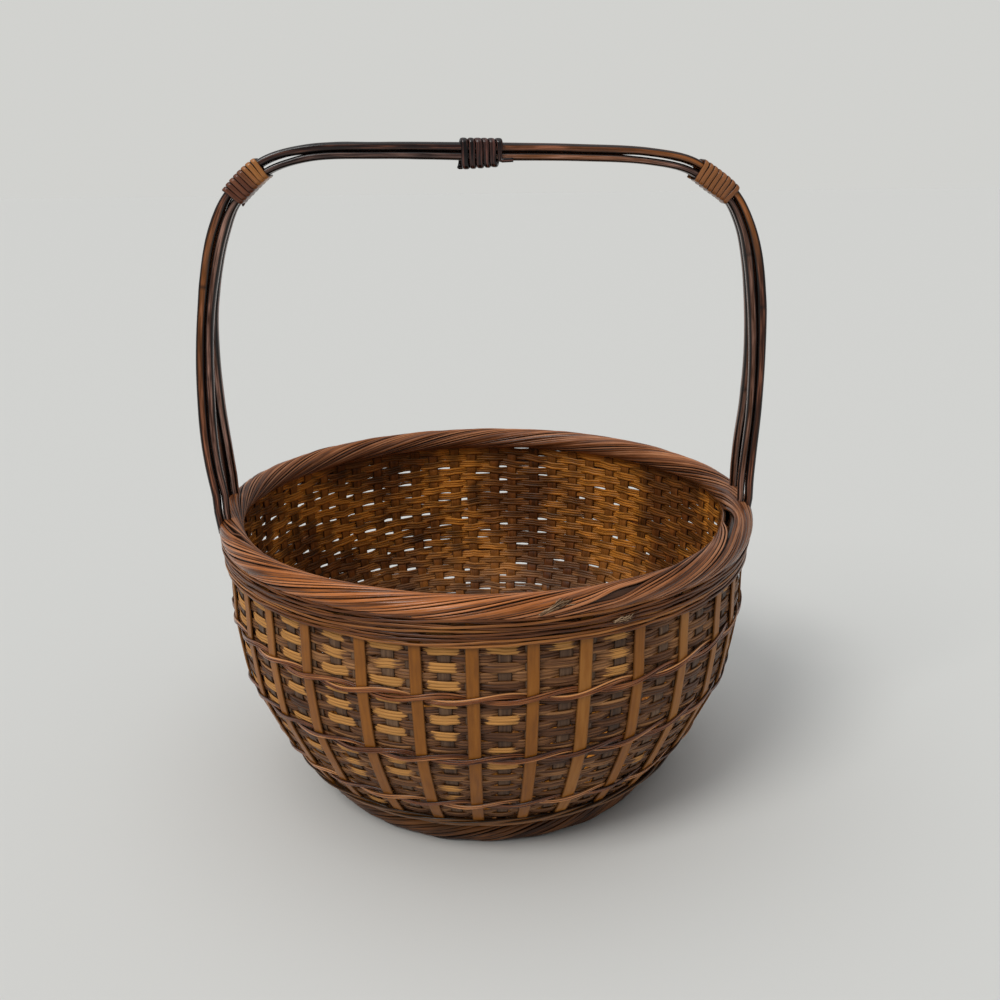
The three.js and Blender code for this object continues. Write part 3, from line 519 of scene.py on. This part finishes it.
def wall_weavers(azimuths, stops):
    """Weavers of the wall: each goes outside one stake and inside the next, and rows alternate.

    The swing of a weaver is a cosine over the stakes, moved outwards by a bias so that it lies
    outside for longer than inside, and flattened by tanh so that it lies on the stakes.
    A weaver is a bundle of three fine splints side by side, which share its swing. Here and there
    two rows part between two stakes by a half sine, so that light comes through as short dashes,
    most of all at the left of the back, where the splints also draw together. Wear is highest
    where a weaver crosses the stake in the middle of a cell, mostly towards the left of the front
    and in the upper rows; on the crowns it also stands in for painted highlights. Where a weaver
    lies inside the stakes it gets painted shade, deeper at the left and at random per cell at the
    back, and the lower rows get painted shade too. The lower rows at the back are also greyed.
    """
    rows, parts = len(stops), SPLINTS_PER_WEAVER
    count = STAKES * WEAVER_STEPS
    order = np.arange(count) / WEAVER_STEPS
    azimuth = np.interp(order, np.arange(STAKES + 1), np.concatenate([azimuths, [azimuths[0] + TURN]]))
    around = wrapped(azimuth)
    parity = (np.arange(rows) % 2)[:, None]
    swing = np.tanh(2.0 * (np.cos(math.pi * (order + parity)) + WEAVER_BIAS))
    middle = np.abs(((order + 1) % 2) - 1)
    bulge = 1 + 0.35 * smooth(0.4, 1.0, middle)
    offset = WEAVER_SWING * swing * np.where(swing > 0, bulge, 1.0)
    open_side = bump(around + 2.15, 0.55) + 0.35 * bump(np.abs(around) - 2.9, 0.5)
    loose = wander(rows, count, 1.0, (7, 13, 23, 37, 53, 71))
    draw = 0.16 * open_side * smooth(0.1, 0.9, loose) + 0.16 * smooth(1.3, 1.9, loose) - 0.04
    lift = wander(rows, count, 0.13, (3, 7, 13, 31))
    space = np.floor(order).astype(int) % STAKES
    parted = rng.uniform(0, 1, (rows, STAKES))[:, space] < 0.06 + 0.38 * open_side
    parted = 0.62 * parted * np.sin(math.pi * (order % 1)) ** 0.7
    lift = lift - parted + np.vstack([np.zeros((1, count)), parted[:-1]])

    place = np.where(around < -0.25, 0.80, 0.70 * bump(around + 0.25, 0.42))
    place = place * (np.abs(around) < 1.7) + 0.12
    up = np.linspace(0, 1, rows)[:, None]
    chance = place * (0.20 + 0.95 * smooth(0.15, 0.9, up))
    cell = np.floor(order / 2).astype(int) % STRIPS
    luck = rng.uniform(0, 1, (rows, STRIPS))[:, cell]
    amount = np.clip((chance - luck) * 2.4 + 0.35, 0, 1) * (luck < chance)
    stake = np.floor(order + 0.5).astype(int) % STAKES
    # Painted shade where a weaver lies inside the stakes: even at the front, of random depth per cell at the
    # back, deeper at the left, and on the lower rows.
    shade_depth = 0.85 * smooth(0.35, 1.0, rng.uniform(0, 1, (rows, STAKES)))[:, stake]
    hidden = np.where(np.abs(around) < 1.9, 0.45, 0.75 * shade_depth * (0.6 + 0.4 * (around < 0)))
    shade = smooth(0.3, -0.8, swing) * np.maximum(hidden, 0.22 * bell(around, -2.2, 0.5))
    shade = np.maximum(shade, 0.20 * smooth(0.55, 0.0, up))
    # The lower rows at the back are greyer and darker.
    greyed_low = 0.85 * smooth(0.62, 0.25, up) * smooth(1.7, 2.3, np.abs(around))

    point, normal = (v[:, None] for v in body_at(stops, WALL_DEPTH))
    layers = []
    for k in range(parts):
        beside = (k - (parts - 1) / 2) * WEAVER_PITCH / parts
        up_shift = lift + beside * (1 - draw) + wander(rows, count, 0.07, (11, 23, 37))
        out_shift = offset + wander(rows, count, 0.05, (5, 17, 29)) + (0.09 if k == 1 else 0.0)
        radius, height = moved(point, normal, out_shift, up_shift)
        widths = 1.16 * WEAVER_PITCH / parts * (1 - draw) * (1 + wander(rows, count, 0.05, (9, 21)))
        ragged = rng.uniform(-0.12, 0.12, (rows, STRIPS))[:, cell]
        # Partly real wear, partly painted highlight: every crown gets some, on top of the random worn
        # patches.
        wear = (0.42 * smooth(0.5, 1.0, middle) + amount) * parity * smooth(0.28, 0.58, middle + ragged)
        outwards = polar(normal[..., 0], azimuth, normal[..., 1])
        layers.append((polar(radius, azimuth, height), outwards, widths, wear, shade, greyed_low))
    layers = [np.stack(values, 1) for values in zip(*layers)]
    third = math.ceil(rows / 3)
    for k, level in enumerate(("low", "middle", "high")):
        centres, outwards, widths, wear, shade, greyed_low = (
            v[k * third:(k + 1) * third].reshape(-1, *v.shape[2:]) for v in layers)
        splints(f"wall_weavers_{level}", ["woven_wall"], wall_look, centres, outwards, widths,
                WEAVER_THICKNESS, True, sides=6, squareness=3.0, wear=wear, shade=shade, warm=greyed_low)


def wall_stakes(azimuths, stops):
    """Flat upright splints of the wall, swaying by a cosine over the rows against the weavers' swing."""
    rows = len(stops)
    steps = rows * 4
    along = np.clip(np.linspace(stops[0] - 0.02, stops[-1] + 0.12, steps), 0, len(BODY_PROFILE) - 1)
    point, normal = body_at(along, WALL_DEPTH)
    row = np.interp(along, stops, np.arange(rows))
    sway = -STAKE_SWAY * np.cos(math.pi * (row[None] + np.arange(STAKES)[:, None]))
    radius, height = moved(point, normal, sway)
    centres = polar(radius, azimuths[:, None] + wander(STAKES, steps, 0.0016, (1, 2)), height)
    outwards = polar(normal[:, 0], azimuths[:, None], normal[:, 1])
    widths = STAKE_WIDTH * np.minimum(1, radius / 118)
    splints("wall_stakes", ["woven_wall"], stake_look, centres, outwards, widths, STAKE_THICKNESS, False,
            shade=0.05)


def woven_wall():
    """Plain weave of the bowl: bundles of fine splints over upright stakes."""
    azimuths, stops = stake_azimuths(), body_rows()
    wall_weavers(azimuths, stops)
    wall_stakes(azimuths, stops)


def base_rise(radius):
    """Height of the base at a radius: flat, with its outer edge turned up against the wall."""
    return BASE_HEIGHT + 2.2 * smooth(BASE_RADIUS - 3.0, BASE_RADIUS + BASE_TURN_UP, radius)


def woven_base():
    """Round base: radial spokes and rings of weaving that go over one spoke and under the next.

    A spoke sways by a cosine along the radius, and a ring by a cosine over the spokes that tanh
    flattens. Both turn over from each one to the next. The outer side is the underside, so the
    upper face has the look of the wall's inside.
    """
    azimuth = FIRST_STRIP + np.arange(STRIPS) * STRIP_PITCH
    reach = np.linspace(0.6, BASE_RADIUS + BASE_TURN_UP, 60)
    sway = 0.25 * np.cos(math.pi * (reach[None] / WEAVER_PITCH + np.arange(STRIPS)[:, None]))
    centres = polar(reach, azimuth[:, None], base_rise(reach) + sway)
    widths = np.minimum(4.6, TURN * reach / STRIPS * 0.62)
    splints("base_spokes", ["base_mat"], wall_look, centres, DOWN, widths, BASE_THICKNESS, False, shade=0.2)

    rings = int((BASE_RADIUS + BASE_HOLE) // WEAVER_PITCH) + 1
    ring = np.arange(rings)[:, None]
    count = STRIPS * BASE_STEPS
    order = np.arange(count) / BASE_STEPS
    radius = BASE_HOLE + WEAVER_PITCH * ring + wander(rings, count, 0.12, (3, 8))
    swing = np.tanh(2.0 * np.cos(math.pi * (order + ring))) * 0.6
    centres = polar(radius, FIRST_STRIP + order * STRIP_PITCH, base_rise(radius) + swing)
    splints("base_rings", ["base_mat"], wall_look, centres, DOWN, 3.6, BASE_THICKNESS, True, squareness=3.5,
            shade=0.15)


def overlay_strips():
    """Flat strips down the body, from behind the collar to behind the foot ring.

    A strip dips between the bands by a cosine with one wave from each to the next. It drifts
    sideways by slow waves, narrows towards the foot and is in shade at its lower end.
    """
    steps = 72
    stops = np.linspace(0.15, len(BODY_PROFILE) - 1, steps)
    point, normal = body_at(stops, STRIP_THICKNESS / 2)
    azimuth = FIRST_STRIP + np.arange(STRIPS)[:, None] * STRIP_PITCH
    stray = rng.normal(0, 0.5, STRIPS)
    stray[FRONT_STRIPS] = STRIP_STRAY
    azimuth = azimuth + (np.radians(stray)[:, None] + wander(STRIPS, steps, 0.0015, (1, 2)))
    held = np.cos(TURN * np.clip(stops - 1.0, 0, 4))
    radius, height = moved(point, normal, -0.14 * (1 - held))
    widths = STRIP_WIDTH * (1 + rng.normal(0, 0.04, (STRIPS, 1)) + wander(STRIPS, steps, 0.012, (1, 3)))
    widths = widths * (0.84 + 0.16 * smooth(0.0, 2.5, stops))
    splints("overlay_strips", [f"overlay_strip_{k:02d}" for k in range(1, STRIPS + 1)], strip_look,
            polar(radius, azimuth, height), polar(normal[:, 0], azimuth, normal[:, 1]), widths,
            STRIP_THICKNESS, False, sides=12, squareness=7.0, shade=0.75 * smooth(20.0, 6.0, height))


def twined(point, normal, strands, swing, crossing, period, slack, splits=(0.0,), spread=0.0, phase=0.0,
           sag=0.0):
    """Centres and outward directions of twined strands, each split into thinner splints.

    A strand circles the line midway between them: its outward part is a cosine and its upward
    part a sine of the same angle, and the strands share the turn evenly. The period is counted
    in strips, and the sag is the share of the rim's sag that the row follows. The splints of a
    strand lie side by side, a spread apart.
    """
    count = STRIPS * TWINING_STEPS
    order = np.arange(count) / TWINING_STEPS
    azimuth = FIRST_STRIP + order * STRIP_PITCH
    drift = wander(1, count, slack, (2, 5, 7))[0]
    centres, outwards = [], []
    for k in range(strands):
        angle = TURN * (order / period + k / strands) + phase
        for split in splits:
            out = swing * np.cos(angle) + wander(1, count, 0.07, (5, 19))[0]
            up = crossing * np.sin(angle) + drift + split * spread
            up = up + wander(1, count, 0.24, (3, 11, 23, 41))[0]
            radius, height = moved(point, normal, out, up)
            centres.append(polar(radius, azimuth, height - sag * front_sag(azimuth)))
            outwards.append(polar(normal[0], azimuth, normal[1]))
    return np.array(centres), np.array(outwards)


def bands():
    """Three twined bands over the strips, each of two strands of three thin splints.

    The two strands change sides once per strip, so each lies over one strip and behind the next,
    and is shaded where it lies behind.
    """
    for level, station in BAND_STATIONS.items():
        point, normal = body_at(station, STRIP_THICKNESS / 2)
        centres, outwards = twined(point[0], normal[0], strands=2, swing=BAND_SWING, crossing=BAND_CROSSING,
                                   period=2, slack=0.25, splits=(-1, 0, 1), spread=0.90)
        inward = np.cos(np.arange(centres.shape[1]) / TWINING_STEPS * math.pi)
        shade = np.array([0.35 * smooth(0.0, -1.0, inward)] * 3 + [0.35 * smooth(0.0, 1.0, inward)] * 3)
        splints(f"{level}_band", [f"{level}_band_strand_a", f"{level}_band_strand_b"], band_look, centres,
                outwards, BAND_WIDTH, BAND_THICKNESS, True, squareness=2.4, shade=shade)


def collar():
    """Rows of fine twining under the rim, four slack strands in each, one turn in eight strips."""
    for k, (radius, height, crossing) in enumerate(COLLAR_ROWS):
        centres, outwards = twined(np.array([radius, height]), np.array([1.0, 0.0]), strands=4, swing=0.40,
                                   crossing=crossing, period=8, slack=0.2, phase=1.3 * k, sag=0.2 * k)
        splints(f"collar_{k + 1}", [f"collar_row_{k + 1}"], collar_look, centres, outwards, 1.3, 1.05, True,
                squareness=2.4)


def laid_ring(name, nodes, look, radius, height, lay_radius, turns, families, rounds, per_round, width,
              thickness, tilt, mixture, rise=1.0, sag=0.0, openings=(), swell=(0.0, 0.0, 1.0), **values):
    """Splints laid helically round a hoop, each family a closed line over several rounds.

    The lay angle grows with the azimuth, from outside over the top to inside, and the radius and
    height of the line are the hoop's plus the lay radius times its cosine and sine, the height's
    part stretched by the rise. An opening pushes the splints on its two sides apart, by a bell
    curve along the ring and across it. The swell makes the ring fatter in one place. The widths
    vary from family to family and along the way by the mixture.
    """
    count = rounds * per_round
    azimuth = np.arange(count) * TURN / per_round
    lay = turns * azimuth + TURN * np.arange(families)[:, None] / (families * rounds)
    lay = lay + wander(families, count, 0.045, (2, 5, 9, 17))
    for at, angle, reach, push in openings:
        beside = wrapped(azimuth - at)
        across = wrapped(lay - angle - turns * beside)
        lay = lay + push * np.exp(-((beside / reach) ** 2) - (across / 0.7) ** 2) * np.sign(across)
    swollen = swell[0] * bell(azimuth, *swell[1:])
    radius = radius - 0.6 * swollen
    arm = lay_radius + wander(families, count, 0.17, (4, 7, 12, 19, 31)) - 0.1 + swollen
    height = height - sag * front_sag(azimuth) + rise * arm * np.sin(lay)
    centres = polar(radius + arm * np.cos(lay), azimuth, height)
    outwards = polar(rise * np.cos(lay), azimuth, np.sin(lay))
    share = rng.normal(0, mixture, (families, 1)) + wander(families, count, 0.6 * mixture, (1, 2, 4, 7))
    widths = width * np.clip(1 + share, 0.6, 1.6)
    made = {key: value(azimuth, lay) for key, value in values.items()}
    roll = tilt + wander(families, count, 0.10, (3, 6))
    splints(name, nodes, look, centres, outwards, widths, thickness, True, squareness=2.4, roll=roll, **made)


def rim():
    """Rope-like rim: fine splints laid round the filling, which follows the same sag.

    The rim is warm orange along the front and the back; the extra warmth on the upper outer side
    of each splint is painted light.
    """
    def warm(azimuth, lay):
        share = bell(azimuth, -0.30, 0.86) + 0.52 * smooth(0.2, -0.7, np.cos(azimuth))
        # The lay term is painted light: the upper outer side of each splint is warmer.
        return np.clip(share * (0.55 + 0.45 * np.sin(lay + 0.6)), 0, 1) * 0.9

    laid_ring("rim_splints", [f"rim_strand_{k}" for k in range(1, 7)], rim_look, RIM_RADIUS, RIM_HEIGHT,
              RIM_LAY, RIM_TURNS, families=8, rounds=3, per_round=200, width=1.66, thickness=1.5, tilt=0.12,
              mixture=0.42, sag=1.0, openings=RIM_OPENINGS, swell=RIM_SWELL, warm=warm)
    azimuth = np.arange(192)[None] * TURN / 192
    centres = polar(RIM_RADIUS, azimuth, RIM_HEIGHT - front_sag(azimuth))
    splints("rim_filling", ["rim_core"], rim_look, centres, polar(1.0, azimuth, 0.0), 9.4, 9.4, True,
            sides=12, squareness=2.0, shade=1.0)
    frayed_end("rim_frayed_end", (9.4, 132.2, 137.0), (15.4, 131.2, 141.4), 26, "rim_strand_1")
    frayed_end("collar_frayed_end", (23.6, 131.5, 128.8), (28.2, 131.4, 129.8), 20, "rim_strand_2")


def frayed_end(name, start, end, count, node):
    """Split end of a strand: short fine fibres that fan out and bend between two places.

    The places are an azimuth in degrees, a radius and a height. Each fibre goes from near the
    first to near the second, curls in a sine of its own that grows along it, and gets thinner.
    """
    t = np.linspace(0, 1, 12)[None, :]
    first, last = (np.array([math.radians(p[0]), p[1], p[2]]) for p in (start, end))
    spread = rng.normal(0, 1, (count, 1, 3)) * np.array([0.006, 0.2, 0.75]) * (0.4 + 0.6 * t[..., None])
    wave = rng.uniform(1.0, 2.2, (count, 1)) * math.pi
    curl = 1.5 * t**1.6 * np.sin(wave * t + rng.uniform(0, TURN, (count, 1)))
    azimuth, radius, height = np.moveaxis(first + (last - first) * t[..., None] + spread, -1, 0)
    shorter = -rng.uniform(0.0, 0.045, (count, 1)) * t
    centres = polar(radius + 0.25 * np.abs(curl), azimuth + shorter, height + curl)
    widths = np.broadcast_to(0.52 - 0.28 * t, radius.shape)
    splints(name, [node], fray_look, centres, polar(1.0, azimuth, 0.0), widths, 0.8 * widths, False, sides=6,
            squareness=2.0)


def foot():
    """Foot ring: strands twisted round the outside of the hoop, a twined row above, and the hoop.

    The hoop is the one CAD node that is shown as it is, with a material of its own.
    """
    def warm(azimuth, lay):
        # Painted highlight: the lit side of each strand is golden, at the left of the front.
        return bell(azimuth, -0.45, 0.55) * (0.5 + 0.5 * np.sin(lay - 0.4)) ** 2

    strands = ["foot_strand_a", "foot_strand_b"]
    laid_ring("foot_strands", strands, foot_look, FOOT_RADIUS + 0.8, FOOT_HEIGHT + 0.6, FOOT_LAY, FOOT_TURNS,
              families=4, rounds=3, per_round=160, width=2.1, thickness=1.7, tilt=0.15, mixture=0.25,
              rise=1.5, warm=warm)
    point, normal = body_at(FOOT_ROW_STATION, -0.2)
    centres, outwards = twined(point[0], normal[0], strands=3, swing=0.8, crossing=1.8, period=4, slack=0.3,
                               splits=(-0.5, 0.5), spread=1.4, phase=0.6)
    # The warm value here is a painted sheen on the whole upper row.
    splints("foot_upper_strands", strands, foot_look, centres, outwards, 1.6, 1.3, True, squareness=2.4,
            warm=0.6)
    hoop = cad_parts["foot_hoop"]
    hoop.data.materials.clear()
    hoop.data.materials.append(plain_bamboo())


def plain_bamboo():
    """Dark bamboo for the hoop under the basket, with blots in Object coordinates."""
    material, tree = new_material("hoop_bamboo")
    place = new_node(tree, "TexCoord").outputs["Object"]
    noise = new_node(tree, "TexNoise", {"Vector": place, "Scale": 260.0, "Detail": 4.0})
    ramp = new_node(tree, "ValToRGB", (noise.outputs["Fac"],))
    ramp.color_ramp.elements[0].color = (0.014, 0.007, 0.005, 1)
    ramp.color_ramp.elements[1].color = (0.090, 0.045, 0.026, 1)
    plug(tree, tree.nodes["Principled BSDF"], {"Base Color": ramp.outputs[0], "Roughness": 0.5})
    return material


def arch_at(side, stops):
    """Outer cane's x, height and space to the inner cane on one half, and its outward normal.

    On both halves x is counted outwards.
    """
    point, slope = curve_through(ARCH[side], np.atleast_1d(stops))
    along = unit(slope[:, :2])
    return point, np.stack([-along[:, 1], along[:, 0]], -1)


def leg_line(side, face, arch, steps):
    """Centres, width directions and filling of one cane from inside the rim to the middle of the top.

    Below the splay height the cane leans to the front or back, and its width direction turns from
    +Y to the rim's own direction. It ends inside the rim. Where the two arches touch, each is
    thickened towards the other by half the space between them, which is the filling.
    """
    sign = -1 if side == "left" else 1
    azimuth = math.radians(FOOT_AZIMUTH[f"{side}_{face}"])
    foot_side = sign * np.array([math.cos(azimuth), math.sin(azimuth), 0.0])
    point, normal = arch_at(side, np.linspace(len(ARCH[side]) - 1, 0, steps))
    x, z, gap = point.T
    on_top = smooth(TOUCH_END[side] + 6, TOUCH_END[side] - 6, x) * (z > 290)
    touch = np.maximum(on_top, smooth(296, 284, z))
    fill = np.clip(gap + 0.35 - sum(CANE_THICKNESS.values()) / 2, 0, 2) * touch / 2
    inwards = fill / 2 if arch == "outer" else gap - fill / 2
    x, z = x - normal[:, 0] * inwards, z - normal[:, 1] * inwards
    fall = np.clip((SPLAY_TOP - point[:, 1]) / (SPLAY_TOP - SHOULDER_TOP), 0, None)
    target = polar(FOOT_RADII[arch], azimuth, 0.0)
    top = CANE_OFFSET * (-1 if face == "front" else 1)
    y = top + (target[1] - top) * np.minimum(1, fall**SPLAY_POWER)
    lean = smooth(0.55, 1, fall) ** 3
    x = sign * x * (1 - lean) + target[0] * lean
    settle = smooth(0, 1, fall)[:, None]
    side_way = unit(np.array([0.0, 1.0, 0.0]) * (1 - settle) + foot_side * settle)
    low = [polar(FOOT_RADII[arch] - drop * 0.12, azimuth, 0.0) + (0.0, 0.0, SHOULDER_TOP - drop)
           for drop in (10, 6, 3, 0)]
    centres = np.vstack([low, np.stack([x, y, z], -1)])
    ways = np.vstack([np.tile(foot_side, (len(low), 1)), side_way])
    return centres, ways, np.concatenate([np.zeros(len(low)), fill])


def canes():
    """Four split canes, each with its joints: a slight swelling with a dark groove.

    The swelling and the groove are bumps of the length from the nearest joint. The place runs
    from -1 at the left foot over 0 at the top to 1 at the right foot, and the warm and shaded
    stretches are smooth steps of it.
    """
    for face in ("front", "back"):
        for arch in ("outer", "inner"):
            left, right = (leg_line(side, face, arch, 150) for side in ("left", "right"))
            centres, ways, fill = (np.concatenate([a[:-1], b[::-1]]) for a, b in zip(left, right))
            outwards = np.cross(ways, unit(np.gradient(centres, axis=0)))
            length = path_length(centres)
            joints = np.arange(rng.uniform(40, 120), length[-1], rng.uniform(150, 190))
            away = np.abs(length[:, None] - joints[None]).min(1)
            swell = 0.05 * bump(away, 5)
            groove = 0.8 * bump(away, 1.2)
            place = np.linspace(-1, 1, len(centres))
            width = CANE_WIDTH * (0.97 + swell + 0.02 * np.sin(9 * place))
            thickness = CANE_THICKNESS[arch] * (0.96 + swell) + fill
            left_leg, right_leg = smooth(0.36, 0.56, -place), smooth(0.36, 0.56, place)
            left_top = smooth(0.45, 0.36, -place) * smooth(0.01, 0.05, -place)
            if arch == "outer":
                warm = 0.55 * left_leg * smooth(1.1, 0.55, -place)
                warm = warm + (0.30 + 0.60 * smooth(0.08, 0.34, place)) * (place > 0)
                warm = warm * (1 - 0.88 * smooth(0.50, 0.62, place))
            else:
                warm = 0.10 * left_leg + 0.55 * bump(place - 0.07, 0.10) * (place > 0) + 0.20 * right_leg
            warm = warm * (0.85 + 0.15 * np.sin(9 * place + rng.uniform(0, TURN)))
            # Painted shade on the left of the top and on the right leg, besides the joints' grooves.
            shade = np.maximum(groove, 0.6 * left_top + 0.35 * right_leg)
            splints(f"{face}_{arch}_cane_splint", [f"{face}_{arch}_cane"], cane_looks[arch], centres[None],
                    outwards[None], width, thickness, False, sides=16, squareness=2.6, upright=True,
                    shade=shade, warm=warm)


def middle_line(side):
    """Middle of the four canes on one half: length from the top, place, outer cane's point and normal."""
    point, normal = arch_at(side, np.linspace(0, len(ARCH[side]) - 1, 900))
    inset = (CANE_THICKNESS["inner"] - CANE_THICKNESS["outer"]) / 4
    middle = point[:, :2] - normal * (point[:, 2:] / 2 + inset)
    return path_length(middle), middle, point, normal


def middle_of_arch(s):
    """Middle line of the four canes at signed lengths from the middle of the top, positive towards +X.

    Gives the point and the outward normal in the plane of the handle, and the canes' spacing.
    """
    values = {}
    for side in ("left", "right"):
        length, middle, point, normal = middle_line(side)
        columns = (*middle.T, point[:, 2], *normal.T)
        values[side] = np.array([np.interp(np.abs(s), length, column) for column in columns])
    x, z, gap, nx, nz = np.where(s < 0, values["left"], values["right"])
    sign = np.where(s < 0, -1.0, 1.0)
    zero = np.zeros_like(x)
    return np.stack([sign * x, zero, z], -1), unit(np.stack([sign * nx, zero, nz], -1)), gap


def winding(start, loops, pitch, half, sag=(0.0, 0.0), barrel=0.0):
    """Path wound round the canes from a signed length: centres and outward directions.

    One loop is a rounded rectangle round the four canes: its corner centres lie inside the
    canes' corners by their rounding, and the corner arcs have a radius of that rounding plus
    a small clearance plus half the winding. Each corner takes a quarter of the steps, the arc
    three quarters of those, while the path moves on by the pitch in a loop. The sag, from the
    first loop's to the last one's, is how far the loops hang under the canes. The barrel is how
    much further out the middle loop lies than the first and last.
    """
    index = np.arange(int(loops * STEPS_PER_LOOP) + 1)
    centre, normal, gap = middle_of_arch(start + pitch * index / STEPS_PER_LOOP)
    half_y = CANE_OFFSET + CANE_WIDTH / 2 - ROUNDING
    half_n = gap / 2 + (CANE_THICKNESS["outer"] + CANE_THICKNESS["inner"]) / 4 - ROUNDING
    reach = ROUNDING + CLEARANCE + half + barrel * np.sin(math.pi * index / index[-1])
    quarter = (index / STEPS_PER_LOOP * 4) % 4
    corner = np.floor(quarter).astype(int)
    share = np.clip((quarter - corner) / ARC_SHARE, 0, 1)
    on_run = np.clip((quarter - corner - ARC_SHARE) / (1 - ARC_SHARE), 0, 1)
    signs_y = np.array([1, 1, -1, -1])
    signs_n = np.array([-1, 1, 1, -1])
    sign_y = signs_y[corner] + (np.roll(signs_y, -1) - signs_y)[corner] * on_run
    sign_n = signs_n[corner] + (np.roll(signs_n, -1) - signs_n)[corner] * on_run
    angle = (corner - 1 + share) * math.pi / 2
    face_y, face_n = np.cos(angle), np.sin(angle)
    y = half_y * sign_y + reach * face_y
    n = half_n * sign_n + reach * face_n - np.interp(index, [0, index[-1]], sag) * (1 - sign_n) / 2
    across = np.array([0.0, 1.0, 0.0])
    centres = centre + normal * n[:, None] + across * y[:, None]
    return centres, normal * face_n[:, None] + across * face_y[:, None]


def corner_bindings():
    """Flat strips wound round all four canes where the arch turns down.

    The width and the roll vary by slow sines along the winding. The left one gets warmer towards
    its upper end and the right one a little less warm towards its lower end.
    """
    for side, sign in (("left", -1), ("right", 1)):
        length, _, point, _ = middle_line(side)
        corner = length[np.argmax(point[:, 0] >= BINDING_CENTRE_X[side])]
        start = sign * corner - BINDING_LOOPS * BINDING_PITCH / 2
        centres, outwards = winding(start, BINDING_LOOPS, BINDING_PITCH, BINDING_THICKNESS / 2,
                                    barrel=BINDING_BARREL)
        place = np.linspace(0, 1, len(centres))
        warm = 0.9 * smooth(0.50, 0.85, place) if side == "left" else 0.55 - 0.25 * place
        roll = 0.10 + 0.04 * np.sin(place * BINDING_LOOPS * TURN)
        width = BINDING_PITCH * (1.0 + 0.05 * np.sin(place * 23.0 + 1.0))
        splints(f"{side}_corner_wrap", [f"{side}_corner_binding"], binding_look, centres[None],
                outwards[None], width, BINDING_THICKNESS, False, sides=12, squareness=2.5, roll=roll,
                warm=warm)


def centre_knot():
    """Flattened reed wound loosely over the middle of the top, its end lying along the lower cane.

    The loops are shifted along the handle and the width varies, both by slow sines along the
    winding, and the end is narrower.
    """
    start = KNOT_CENTRE - KNOT_LOOPS * KNOT_PITCH / 2
    centres, outwards = winding(start, KNOT_LOOPS - 0.25, KNOT_PITCH, KNOT_THICKNESS / 2, sag=KNOT_SAG)
    tail = centres[-1] + np.linspace(0.15, 1, 6)[:, None] * KNOT_TAIL
    centres = np.vstack([centres, tail])
    outwards = np.vstack([outwards, np.tile(outwards[-1], (len(tail), 1))])
    place = np.linspace(0, 1, len(centres))
    centres[:, 0] += 0.28 * np.sin(place * 31.0) * np.sin(place * math.pi)
    width = np.where(place > 0.96, 0.7, 1.0) * KNOT_WIDTH * (1 + 0.08 * np.sin(place * 17.0))
    splints("centre_wrap", ["centre_knot"], knot_look, centres[None], outwards[None], width, KNOT_THICKNESS,
            False, sides=12, squareness=2.4)


def camera():
    """Camera at the photograph's place, found by a least squares fit of rings and strips."""
    distance, elevation, roll = 577.04, 0.39768, -0.01051
    yaw, pitch, focal = 0.01401, 0.07696, 1100.0
    target_height = 95.4
    back = Vector((0, -math.cos(elevation), math.sin(elevation)))
    place = Vector((0, 0, target_height)) + back * distance
    right = Vector((1, 0, 0))
    up = right.cross(-back)
    aim = -back * math.cos(yaw) * math.cos(pitch) + right * math.sin(yaw) + up * math.sin(pitch)
    aim.normalize()
    level = aim.cross(Vector((0, 0, 1))).normalized()
    above = level.cross(aim)
    x_axis = level * math.cos(roll) + above * math.sin(roll)
    y_axis = above * math.cos(roll) - level * math.sin(roll)
    data = bpy.data.cameras.new("camera")
    data.sensor_width = 36.0
    data.lens = focal / 1000 * data.sensor_width
    data.clip_start, data.clip_end = 0.01, 20.0
    obj = new_object("camera", data)
    rotation = Matrix((x_axis, y_axis, -aim)).transposed()
    obj.matrix_world = Matrix.Translation(place * MM) @ rotation.to_4x4()
    bpy.context.scene.camera = obj


def soft_sun(name, azimuth, elevation, strength, spread, colour):
    """Even light from a wide disk of sky at an azimuth from the front towards +X and an elevation."""
    data = bpy.data.lights.new(name, "SUN")
    data.energy, data.angle, data.color = strength, math.radians(spread), colour
    obj = new_object(name, data)
    azimuth, elevation = math.radians(azimuth), math.radians(elevation)
    flat = math.cos(elevation)
    towards = Vector((math.sin(azimuth) * flat, -math.cos(azimuth) * flat, math.sin(elevation)))
    obj.rotation_mode = "QUATERNION"
    obj.rotation_quaternion = towards.to_track_quat("Z", "Y")


def surroundings():
    """Plain pale floor, a backdrop of the same tone that only the camera sees, and soft even light."""
    mesh = bpy.data.meshes.new("floor")
    far = 6.0
    mesh.from_pydata([(-far, -far, 0), (far, -far, 0), (far, far, 0), (-far, far, 0)], [], [(0, 1, 2, 3)])
    paint, tree = new_material("floor_paint")
    plug(tree, tree.nodes["Principled BSDF"],
         {"Base Color": (0.680, 0.682, 0.660), "Roughness": 0.95, "Specular IOR Level": 0.05})
    mesh.materials.append(paint)
    floor = new_object("floor", mesh)

    world = bpy.data.worlds.new("studio")
    bpy.context.scene.world = world
    world.use_nodes = True
    tree = world.node_tree
    tree.nodes.clear()
    seen = new_node(tree, "LightPath").outputs["Is Camera Ray"]
    light = new_node(tree, "Background", ((0.97, 0.985, 1.0), 0.34)).outputs[0]
    backdrop = new_node(tree, "Background", ((0.641, 0.643, 0.622), 1.0)).outputs[0]
    mix = new_node(tree, "MixShader", (seen, light, backdrop)).outputs[0]
    new_node(tree, "OutputWorld", {"Surface": mix})

    soft_sun("key", -42, 50, 1.30, 24, (1.0, 0.985, 0.96))
    soft_sun("top", -70, 80, 1.00, 80, (0.97, 0.98, 1.0))


woven_wall()
woven_base()
overlay_strips()
bands()
collar()
rim()
foot()
canes()
corner_bindings()
centre_knot()
camera()
surroundings()
bpy.context.scene.view_settings.view_transform = "Standard"
